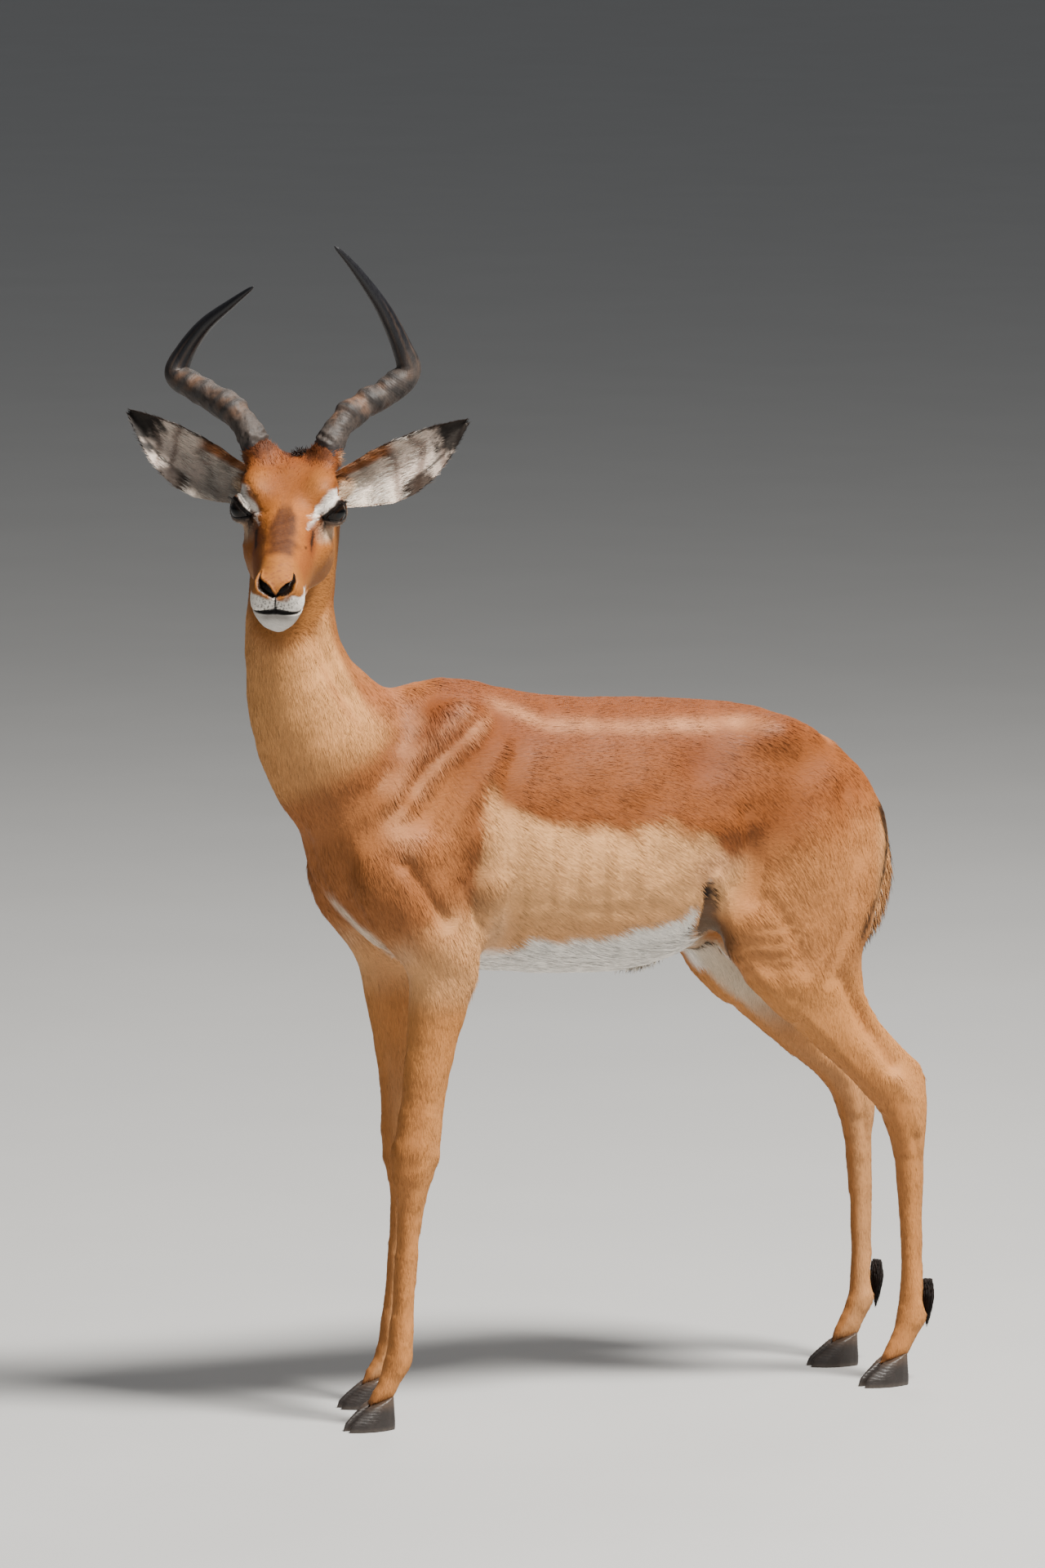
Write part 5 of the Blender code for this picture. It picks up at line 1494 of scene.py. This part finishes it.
def crown_hair(skin, material):
    """Tufty hair on the crown and round the horns, hair before the ears, and the lashes."""
    hair = Hair()
    out, ahead, above = head_local(skin.middles)
    crown_tufts(hair, skin, out, ahead, above)
    dark_tuft(hair)
    for side in SIDES:
        temple_hair(hair, skin, side, out, ahead, above)
    for side in SIDES:
        lashes(hair, side)
    hair.build("coat_crown_and_lashes", material)


def tail_hair(hair, skin):
    by_tail = (-skin.middles[:, 1] < -0.292) & (np.abs(skin.middles[:, 0]) < 0.03)
    points, normals, weights, spots = skin.scatter((skin.group == 4) | ((skin.group == 3) & by_tail), 3600)
    tint, _ = markings(points, normals, weights, spots)
    up = points[:, 2]
    ways = np.stack([0.25 * np.sign(points[:, 0]) * rng.random(len(up)), 0.10 + 0 * up, -1 + 0 * up], 1)
    ways = unit(ways + normals * 0.20 + 0.06 * rng.normal(size=ways.shape))
    length = uneven(0.026, 0.6, 0.6, len(up)) * (1 - 0.3 * step(0.58, 0.53, up))
    hair.locks("low", points, ways, -normals * 0.16, length, 0.0014, tint)


def belly_tuft(hair, skin):
    count = 380
    forward = -0.010 + 0.012 * rng.normal(size=count)
    out = 0.007 * rng.normal(size=count)
    tree = BVHTree.FromPolygons([Vector(p) for p in skin.points], skin.triangles.tolist())
    roots = []
    for f, o in zip(forward, out):
        hit = tree.ray_cast(Vector((o, -f, 0.45)), Vector((0, 0, 1)))
        roots.append(hit[0] if hit[0] else Vector((o, -f, 0.53)))
    ways = unit(np.array([0, -0.55, -1]) + 0.22 * rng.normal(size=(count, 3)))
    tint = blend(shade(238, 230, 216), shade(70, 52, 42), (rng.random(count) < 0.35).astype(float))
    length = uneven(0.014, 0.6, 0.6, count)
    hair.locks("low", np.array(roots), ways, np.array([0, 0.2, 0.1]), length, 0.0013, tint)


def fetlock_tuft(hair, side):
    """The black tuft above one hind foot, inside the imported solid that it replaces."""
    low, high = (np.array(corner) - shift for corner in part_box(f"fetlock_tuft_{side}"))
    middle, half = (low + high) / 2, (high - low) / 2
    count = 1400
    where = rng.normal(size=(count, 3))
    where = where / np.linalg.norm(where, axis=1, keepdims=True) * rng.random((count, 1)) ** 0.33
    narrow = 1 - 0.45 * step(0.1, -1.0, where[:, 2:])
    narrow = np.concatenate([narrow, narrow, 1 + 0 * narrow], 1)
    roots = middle + where * half * np.array([0.74, 0.64, 0.80]) * narrow
    roots[:, 2] = np.minimum(roots[:, 2] + 0.010, high[2] - 0.004)
    roots[:, 1] = np.minimum(roots[:, 1], middle[1] + half[1] * 0.75)
    ways = np.array([0, 0.04, -1]) + where * np.array([0.10, 0.10, 0])
    ways = unit(ways + 0.03 * rng.normal(size=(count, 3)))
    length = np.minimum(uneven(0.021, 0.6, 0.55, count), roots[:, 2] - low[2] + 0.004)
    tint = blend(BLACK, shade(46, 30, 22), 0.5 * rng.random(count))
    hair.locks("low", roots, ways, np.array([0, -0.10, 0]) - where * (0.22, 0.22, 0), length, 0.0016, tint)


def long_hair(skin, material):
    """The tail's hair, the tuft under the belly and the black tufts above the hind feet."""
    hair = Hair()
    tail_hair(hair, skin)
    belly_tuft(hair, skin)
    hair.build("coat_long_hair", material)
    hair = Hair()
    for side in SIDES:
        fetlock_tuft(hair, side)
    hair.build("coat_fetlock_tufts", material, ("fetlock_tuft_left", "fetlock_tuft_right"))


# Horns.
HORN_ROWS, HORN_SIDES = 420, 44
# The rings: how far along a horn 0.36 m long, and how high. Then how far a ring's swell reaches.
RINGS_ALONG = np.array([0.036, 0.082, 0.116, 0.143, 0.166, 0.186]) / 0.36
RING_HEIGHTS = (0.0042, 0.0056, 0.0052, 0.0040, 0.0028, 0.0015)
RING_REACH, CREST_REACH = 0.0085, 0.0062


def ring_index(rings, around):
    """Numbers of the points of a tube, ring by ring, and of each point's next one round its ring."""
    index = np.arange(rings * around).reshape(rings, around)
    return index, np.roll(index, -1, axis=1)


def horn_line(side):
    """The horn's middle line in the animal's frame, and how far along it each point is."""
    rows = HORN_CURVES[side]
    curve = smooth_rows(rows, HORN_ROWS // (len(rows) - 1))
    for _ in range(12):
        curve[1:-1] = (curve[:-2] + 2 * curve[1:-1] + curve[2:]) / 4
    curve = curve * np.array([SIDES[side], 1, 1])
    curve = turned(curve) + np.array(HEAD @ place(HORN_BASE[1], SIDES[side] * HORN_BASE[0], HORN_BASE[2]))
    steps = np.linalg.norm(np.diff(curve, axis=0), axis=1)
    return curve, np.concatenate([[0], np.cumsum(steps)])


def horn_colour(here, level, crest, angles, far, whole, lower, strong, sign):
    """Brown between the rings at the root, and black towards the tip."""
    t = far / whole
    crests = step(0.30, 1.0, crest + 0.25 * wobble(here, 0.012, 60)) * step(0.055, 0.075, level)
    colour = blend(shade(60, 52, 47), shade(40, 38, 41), step(0.034, 0.018, level))
    colour = blend(colour, shade(30, 28, 28), 0.70 * crests)
    valley = np.clip(1 - crest, 0, 1) * step(0.045, 0.065, level) * step(0.60 * whole, 0.52 * whole, far)
    valley = valley * step(-0.1, 0.8, wobble(here, 0.022, 51 + sign)) * strong
    colour = blend(colour, shade(98, 68, 47), 0.66 * valley)
    colour = blend(colour, shade(66, 57, 52), 0.6 * step(0.2, 0.9, wobble(here, 0.010, 58)))
    colour = blend(colour, shade(30, 26, 25), 0.5 * step(0.3, 0.9, wobble(here, 0.0055, 62)) * lower)
    colour = blend(colour, shade(17, 17, 21), np.full(HORN_SIDES, step(0.46, 0.60, t)))
    streaks = step(0.2, 0.9, np.sin(angles * 9 + 2.0 * wobble(here, 0.05, 59)))
    return blend(colour, shade(84, 66, 52), 0.30 * streaks * step(0.46, 0.52, t) * step(0.80, 0.62, t))


def add_horn(side, material):
    sign = SIDES[side]
    curve, far = horn_line(side)
    whole = far[-1]
    share = np.linspace(0, 1, len(curve))
    radius = HORN_RADIUS * (1 - 0.28 * share - 0.62 * (np.maximum(0, share - 0.45) / 0.55) ** 1.3)
    path = unit(np.gradient(curve, axis=0))
    points, tint = [], []
    angles = np.linspace(0, 2 * math.pi, HORN_SIDES, endpoint=False)
    places = RINGS_ALONG * whole + 0.003 * np.random.default_rng(7 + sign).normal(size=6)
    toward = 0.70 * np.cos(angles) - 0.70 * sign * np.sin(angles)
    strong = 0.25 + 0.75 * step(-0.6, 0.9, toward)
    ahead = np.array(HEAD_TURN @ Vector((0.0, -1.0, 0.0)))
    for k in range(len(curve)):
        ahead = unit(ahead - path[k] * (ahead @ path[k]))
        aside = np.cross(path[k], ahead)
        lower = step(0.60 * whole, 0.30 * whole, far[k])
        # Each ring is steep towards the root and tapers towards the tip, and is boldest in front and inside.
        level = far[k] + 0.0050 * toward + 0.0016 * np.sin(2 * angles + 0.7 + 9 * far[k])
        reach, crest = 0.0, 0.0
        for spot, high in zip(places, RING_HEIGHTS):
            d = (level - spot) / RING_REACH
            crest = crest + bell(level - spot, CREST_REACH)
            reach = reach + high * np.exp(-np.where(d > 0, d * 0.52, d * 1.15) ** 2) * strong
        round_ = ahead * np.cos(angles)[:, None], aside * np.sin(angles)[:, None]
        here = curve[k] + round_[0] * radius[k] + round_[1] * radius[k]
        rough = wobble(here, 0.012, 54) * 0.00055 + wobble(here, 0.0045, 55) * 0.00034
        rings = 0.00011 * np.sin(2 * math.pi * level / 0.0034 + 2.4 * wobble(here, 0.014, 56))
        crust = step(0.024, 0.030, level) * step(0.046, 0.036, level)
        rough = rough * lower + crust * strong * 0.0012 * wobble(here, 0.005, 57)
        grooves = 0.00008 * np.sin(angles * 17 + 3 * far[k] / 0.02)
        size = radius[k] - 0.0016 * lower + reach + rings * lower + rough + grooves
        size = size * (1 - step(0.97, 1.0, share[k]) * 0.45) * (1 - step(0.013, 0.003, far[k]) * 0.20)
        points.append(curve[k] + (round_[0] + round_[1] * 0.93) * size[:, None])
        tint.append(horn_colour(here, level, crest, angles, far[k], whole, lower, strong, sign))
    points = np.concatenate([*points, curve[-1:] + path[-1:] * 0.0008, curve[:1]])
    tint = np.concatenate([*tint, tint[-1][:1], tint[0][:1]])
    along = np.concatenate([np.repeat(far / whole, HORN_SIDES), [1.0, 0.0]])
    index, following = ring_index(len(curve), HORN_SIDES)
    quads = np.stack([index[:-1], following[:-1], following[1:], index[1:]], -1).reshape(-1, 4)
    tip, root = np.full(HORN_SIDES, len(points) - 2), np.full(HORN_SIDES, len(points) - 1)
    ends = np.stack([index[-1], following[-1], tip], -1), np.stack([following[0], index[0], root], -1)
    triangles = np.concatenate([quads[:, [0, 1, 2]], quads[:, [0, 2, 3]], *ends])
    name = f"horn_{side}_ringed"
    mesh = make_mesh(name, points, triangles)
    set_vectors(mesh, "tint", tint)
    set_vectors(mesh, "horn", np.outer(along, (1, 0, 0)))
    set_smooth(mesh)
    piece(name, mesh, material, (f"horn_{side}",))


# Eyes.
EYE_RINGS, EYE_AROUND = 72, 96
CORNEA_RISE, CORNEA_REACH = 0.0009, 0.62


def add_eye(side, material):
    middle, axis, along, rise = eye_frame(side)
    points, tint = [], []
    angles = np.linspace(0, 2 * math.pi, EYE_AROUND, endpoint=False)
    for k in range(EYE_RINGS + 1):
        far = math.pi * k / EYE_RINGS
        size = EYE_RADIUS + CORNEA_RISE * math.exp(-(far / CORNEA_REACH) ** 4)
        aside = np.cos(angles)[:, None] * along + np.sin(angles)[:, None] * rise
        points.append(middle + (math.cos(far) * axis + math.sin(far) * aside) * size)
        pupil = np.hypot(far * np.cos(angles) / 0.42, far * np.sin(angles) / 0.24)
        edge = np.full(EYE_AROUND, far)
        colour = blend(shade(17, 11, 8), shade(5, 5, 6), step(1.15, 0.85, pupil))
        colour = blend(colour, shade(30, 19, 12), 0.7 * step(0.95, 1.25, pupil) * step(0.80, 0.62, edge))
        tint.append(blend(colour, shade(16, 11, 10), step(0.78, 0.92, edge)))
    index, following = ring_index(EYE_RINGS + 1, EYE_AROUND)
    quads = np.stack([index[:-1], index[1:], following[1:], following[:-1]], -1).reshape(-1, 4)
    body = head_place(np.concatenate(points))
    a, b, c = (body[quads[2000, k]] for k in range(3))
    if np.cross(b - a, c - b) @ (a - head_place(middle)) < 0:
        quads = quads[:, ::-1]
    mesh = make_mesh(f"eyeball_{side}", body, quads)
    set_vectors(mesh, "tint", np.concatenate(tint))
    work = bmesh.new()
    work.from_mesh(mesh)
    bmesh.ops.remove_doubles(work, verts=work.verts, dist=1e-6)
    work.to_mesh(mesh)
    work.free()
    set_smooth(mesh)
    piece(f"eyeball_{side}", mesh, material, (f"eye_{side}",))


# Hooves.
HOOF_NET, HOOF_RING = 0.0015, 0.0034


def add_hoof(name, material):
    """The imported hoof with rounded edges, growth rings on its wall and a flat sole."""
    points, faces = node_mesh(name)
    mesh = remeshed(make_mesh("temp", points, faces, shift_it=False), HOOF_NET)
    points, triangles, edges = read_mesh(mesh)
    net = Net(len(points), edges)
    sole = points[:, 2] < 0.0022
    points = net.spread(net.smooth(points, 14), 2, 0.5)
    normals = point_normals(points, triangles)
    wall = step(0.004, 0.010, points[:, 2])
    level = points[:, 2] + 0.12 * points[:, 1] + 0.0008 * wobble(points, 0.02, 61)
    points = points + normals * (0.00016 * np.sin(2 * math.pi * level / HOOF_RING) * wall)[:, None]
    points[sole, 2] = np.where(normals[sole, 2] < -0.5, 0.0, points[sole, 2])
    points[:, 2] = np.maximum(points[:, 2], 0.0)
    mesh.vertices.foreach_set("co", (points + shift).astype(np.float32).ravel())
    colour = blend(shade(42, 36, 33), shade(92, 74, 60), 0.6 * step(0.020, 0.034, points[:, 2]))
    colour = blend(colour, shade(84, 74, 66), 0.5 * step(0.006, 0.001, points[:, 2]))
    set_vectors(mesh, "tint", colour)
    mesh.name = name + "_horn"
    set_smooth(mesh)
    piece(name + "_shell", mesh, material, (name,))


# Materials.
class Nodes:
    """A material's nodes, made and joined in short calls."""

    def __init__(self, name):
        self.material = bpy.data.materials.new(name)
        self.material.use_nodes = True
        self.tree = self.material.node_tree
        self.shader = self.tree.nodes["Principled BSDF"]

    def add(self, kind, settings=None, **inputs):
        """A node with settings and inputs. Inputs go by name, or by number as i0, i1 and so on."""
        node = self.tree.nodes.new(kind)
        for key, value in (settings or {}).items():
            setattr(node, key, value)
        for key, value in inputs.items():
            numbered = key[0] == "i" and key[1:].isdigit()
            self.put(node.inputs[int(key[1:]) if numbered else key.replace("_", " ")], value)
        return node

    def put(self, socket, value):
        if isinstance(value, bpy.types.NodeSocket):
            self.tree.links.new(value, socket)
        else:
            socket.default_value = value

    def math(self, kind, a, b=0.0):
        return self.add("ShaderNodeMath", {"operation": kind}, i0=a, i1=b).outputs[0]

    def ramp(self, value, low, high, to_low=0.0, to_high=1.0):
        node = self.add("ShaderNodeMapRange", None, i0=value, i1=low, i2=high, i3=to_low, i4=to_high)
        return node.outputs[0]

    def tinted(self, *ramps):
        """The tint times some ramps, each given as value, low, high, to_low and to_high."""
        amount = self.ramp(*ramps[0])
        for ramp in ramps[1:]:
            amount = self.math("MULTIPLY", amount, self.ramp(*ramp))
        return self.scaled(self.attribute("tint"), amount)

    def noise(self, vector, scale, detail=3.0, rough=0.5):
        node = self.add("ShaderNodeTexNoise", None, Vector=vector, Scale=scale, Detail=detail, Roughness=rough)
        return node.outputs[0]

    def scaled(self, colour, amount):
        node = self.add("ShaderNodeVectorMath", {"operation": "SCALE"})
        self.put(node.inputs[0], colour)
        self.put(node.inputs[3], amount)
        return node.outputs[0]

    def mapped(self, vector, scale, turn=(0, 0, 0)):
        node = self.add("ShaderNodeMapping", None, Vector=vector)
        node.inputs["Rotation"].default_value = [math.radians(a) for a in turn]
        node.inputs["Scale"].default_value = scale
        return node.outputs[0]

    def split(self, vector):
        return self.add("ShaderNodeSeparateXYZ", None, i0=vector).outputs

    def attribute(self, name):
        return self.add("ShaderNodeAttribute", {"attribute_name": name}).outputs["Vector"]

    def place(self):
        return self.add("ShaderNodeTexCoord").outputs["Object"]

    def bump(self, height, strength, distance, normal=None):
        node = self.add("ShaderNodeBump", None, Strength=strength, Distance=distance, Height=height)
        if normal is not None:
            self.put(node.inputs["Normal"], normal)
        return node.outputs[0]

    def set(self, **inputs):
        for key, value in inputs.items():
            self.put(self.shader.inputs[key.replace("_", " ")], value)
        return self.material


def coat_material():
    n = Nodes("coat")
    vary, along = n.split(n.attribute("strand"))[:2]
    lump = n.noise(n.place(), 38.0, 2.0)
    colour = n.tinted((vary, 0, 1, 0.92, 1.08), (along, 0, 1, 0.93, 1.05), (lump, 0.3, 0.7, 0.96, 1.04))
    return n.set(Base_Color=colour, Roughness=n.ramp(vary, 0, 1, 0.50, 0.62), Specular_IOR_Level=0.20)


def skin_material():
    n = Nodes("skin")
    bare = n.split(n.attribute("strand"))[2]
    spot = n.place()
    level = n.split(n.attribute("comb"))[0]
    slanted = n.noise(n.mapped(spot, (700, 90, 420), (28, 0, 0)), 1.0, 3.0, 0.55)
    upright = n.noise(n.mapped(spot, (700, 700, 95)), 1.0, 3.0, 0.55)
    mix = n.add("ShaderNodeMix", None)
    n.put(mix.inputs[0], level)
    n.put(mix.inputs[2], slanted)
    n.put(mix.inputs[3], upright)
    hairs = mix.outputs[0]
    grain = n.noise(spot, 900.0, 2.0)
    lump = n.noise(spot, 38.0, 2.0)
    colour = n.tinted((hairs, 0.3, 0.7, 0.86, 1.08), (lump, 0.3, 0.7, 0.96, 1.04))
    rough = n.math("ADD", n.ramp(bare, 0, 1, 0.65, 0.30), n.ramp(grain, 0, 1, -0.05, 0.05))
    normal = n.bump(grain, 0.35, 0.0003, n.bump(hairs, 0.8, 0.0007))
    return n.set(Base_Color=colour, Roughness=rough, Normal=normal, Specular_IOR_Level=0.20)


def horn_material():
    n = Nodes("horn")
    along = n.split(n.attribute("horn"))[0]
    spot = n.place()
    fine = n.noise(n.mapped(spot, (420, 420, 150)), 1.0, 5.0, 0.6)
    blot = n.noise(spot, 60.0, 4.0, 0.6)
    colour = n.tinted((fine, 0.3, 0.7, 0.78, 1.18), (blot, 0.3, 0.7, 0.80, 1.20))
    rough = n.math("ADD", n.ramp(along, 0.45, 0.68, 0.62, 0.38), n.ramp(fine, 0.3, 0.7, -0.06, 0.06))
    depth = n.ramp(along, 0.45, 0.68, 1.0, 0.25)
    normal = n.bump(n.math("MULTIPLY", fine, depth), 0.7, 0.0009)
    return n.set(Base_Color=colour, Roughness=rough, Normal=normal, Specular_IOR_Level=0.38)


def hoof_material():
    n = Nodes("hoof")
    spot = n.place()
    fine = n.noise(n.mapped(spot, (260, 260, 900)), 1.0, 4.0, 0.6)
    blot = n.noise(spot, 90.0, 3.0)
    colour = n.tinted((fine, 0.3, 0.7, 0.80, 1.18), (blot, 0.3, 0.7, 0.85, 1.15))
    rough = n.ramp(fine, 0.3, 0.7, 0.36, 0.55)
    return n.set(Base_Color=colour, Roughness=rough, Normal=n.bump(fine, 0.5, 0.0006))


def eye_material():
    n = Nodes("eye")
    fine = n.noise(n.place(), 1200.0, 3.0)
    return n.set(Base_Color=n.tinted((fine, 0.3, 0.7, 0.75, 1.25)), Roughness=0.08,
                 Coat_Weight=0.10, Coat_Roughness=0.02, Specular_IOR_Level=0.16)


def floor_material():
    n = Nodes("floor")
    fine = n.noise(n.place(), 3.0, 4.0)
    tone = n.add("ShaderNodeMix", {"data_type": "RGBA"})
    n.put(tone.inputs[0], n.ramp(fine, 0.3, 0.7, 0.0, 1.0))
    tone.inputs[6].default_value = (0.46, 0.46, 0.455, 1)
    tone.inputs[7].default_value = (0.475, 0.475, 0.47, 1)
    return n.set(Base_Color=tone.outputs[2], Roughness=0.85)


# Everything put together.
SKIN_SHADE = 0.92
coat, skin_look = coat_material(), skin_material()

mesh, weights, spots = with_ears(*shaped_skin())
skin = Skin(mesh, weights, spots)
tint, bare = markings(skin.points, skin.normals, weights, spots)
upright = np.clip(weights[:, [1, 4, 5, 6]].sum(1), 0, 1)
set_vectors(mesh, "tint", tint * SKIN_SHADE)
set_vectors(mesh, "strand", np.outer(bare, (0, 0, 1)))
set_vectors(mesh, "comb", np.outer(upright, (1, 0, 0)))
mesh.transform(Matrix.Translation(SHIFT))
set_smooth(mesh)
piece("skin", mesh, skin_look, (*FLESH, "ear_left", "ear_right"))

group, left = skin.group, skin.middles[:, 0] > 0
local = np.stack(head_local(skin.middles), 1)
eyes_near = np.minimum(*(np.linalg.norm(local - eye_frame(side)[0], axis=1) for side in SIDES))
head_density = 0.7 + 0.9 * step(0.06, 0.16, local[:, 1]) + 0.5 * step(0.05, 0.03, eyes_near)
coat_piece(skin, "coat_head", group == 0, 44000, "head", coat, head_density)
coat_piece(skin, "coat_ears", group == 7, 17000, "ears", coat, None, ear_hair)
crown_hair(skin, coat)
coat_piece(skin, "coat_neck", group == 1, 36000, "neck", coat)
for side, yes in (("left", left), ("right", ~left)):
    coat_piece(skin, f"coat_flank_{side}", (group == 2) & yes, 44000, "flank", coat)
    coat_piece(skin, f"coat_rump_{side}", ((group == 3) | (group == 4)) & yes, 20000, "flank", coat)
coat_piece(skin, "coat_forelegs", group == 5, 40000, "legs", coat)
coat_piece(skin, "coat_hindlegs", group == 6, 40000, "legs", coat)
long_hair(skin, coat)

horn_look, eye_look, hoof_look = horn_material(), eye_material(), hoof_material()
for side in SIDES:
    add_horn(side, horn_look)
    add_eye(side, eye_look)
for end in ("fore", "hind"):
    for side in SIDES:
        for toe in ("outer", "inner"):
            add_hoof(f"hoof_{end}_{side}_{toe}", hoof_look)


# The floor and the light. The lamps: name, place, width, power in watts, and colour.
FLOOR_RADIUS = 80
LAMPS = (
    ("key", (2.75, 1.3, 5.9), 1.5, 1250, (1.0, 0.965, 0.91)),
    ("fill", (3.8, -2.6, 2.0), 3.0, 16, (0.94, 0.97, 1.0)),
    ("rim", (-3.2, 2.6, 4.2), 1.8, 70, (1.0, 0.98, 0.95)),
)
LAMP_AIM = Vector((0, 0, 0.75))
SKY_COLOUR, SKY_STRENGTH = (0.93, 0.96, 1.0, 1), 0.16


def add_lamp(name, spot, size, power, colour):
    data = bpy.data.lights.new(name, "AREA")
    data.size = size
    data.energy = power
    data.color = colour
    made = bpy.data.objects.new(name, data)
    bpy.context.scene.collection.objects.link(made)
    made.location = spot
    made.rotation_euler = (LAMP_AIM - Vector(spot)).to_track_quat("-Z", "Y").to_euler()


def add_stage():
    work = bmesh.new()
    bmesh.ops.create_circle(work, cap_ends=True, segments=96, radius=FLOOR_RADIUS)
    mesh = bpy.data.meshes.new("floor")
    work.to_mesh(mesh)
    work.free()
    floor = bpy.data.objects.new("floor", mesh)
    bpy.context.scene.collection.objects.link(floor)
    mesh.materials.append(floor_material())
    floor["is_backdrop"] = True
    for lamp in LAMPS:
        add_lamp(*lamp)
    world = bpy.data.worlds.new("studio")
    world.use_nodes = True
    sky = world.node_tree.nodes["Background"]
    sky.inputs["Color"].default_value = SKY_COLOUR
    sky.inputs["Strength"].default_value = SKY_STRENGTH
    bpy.context.scene.world = world


add_stage()

low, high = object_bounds()
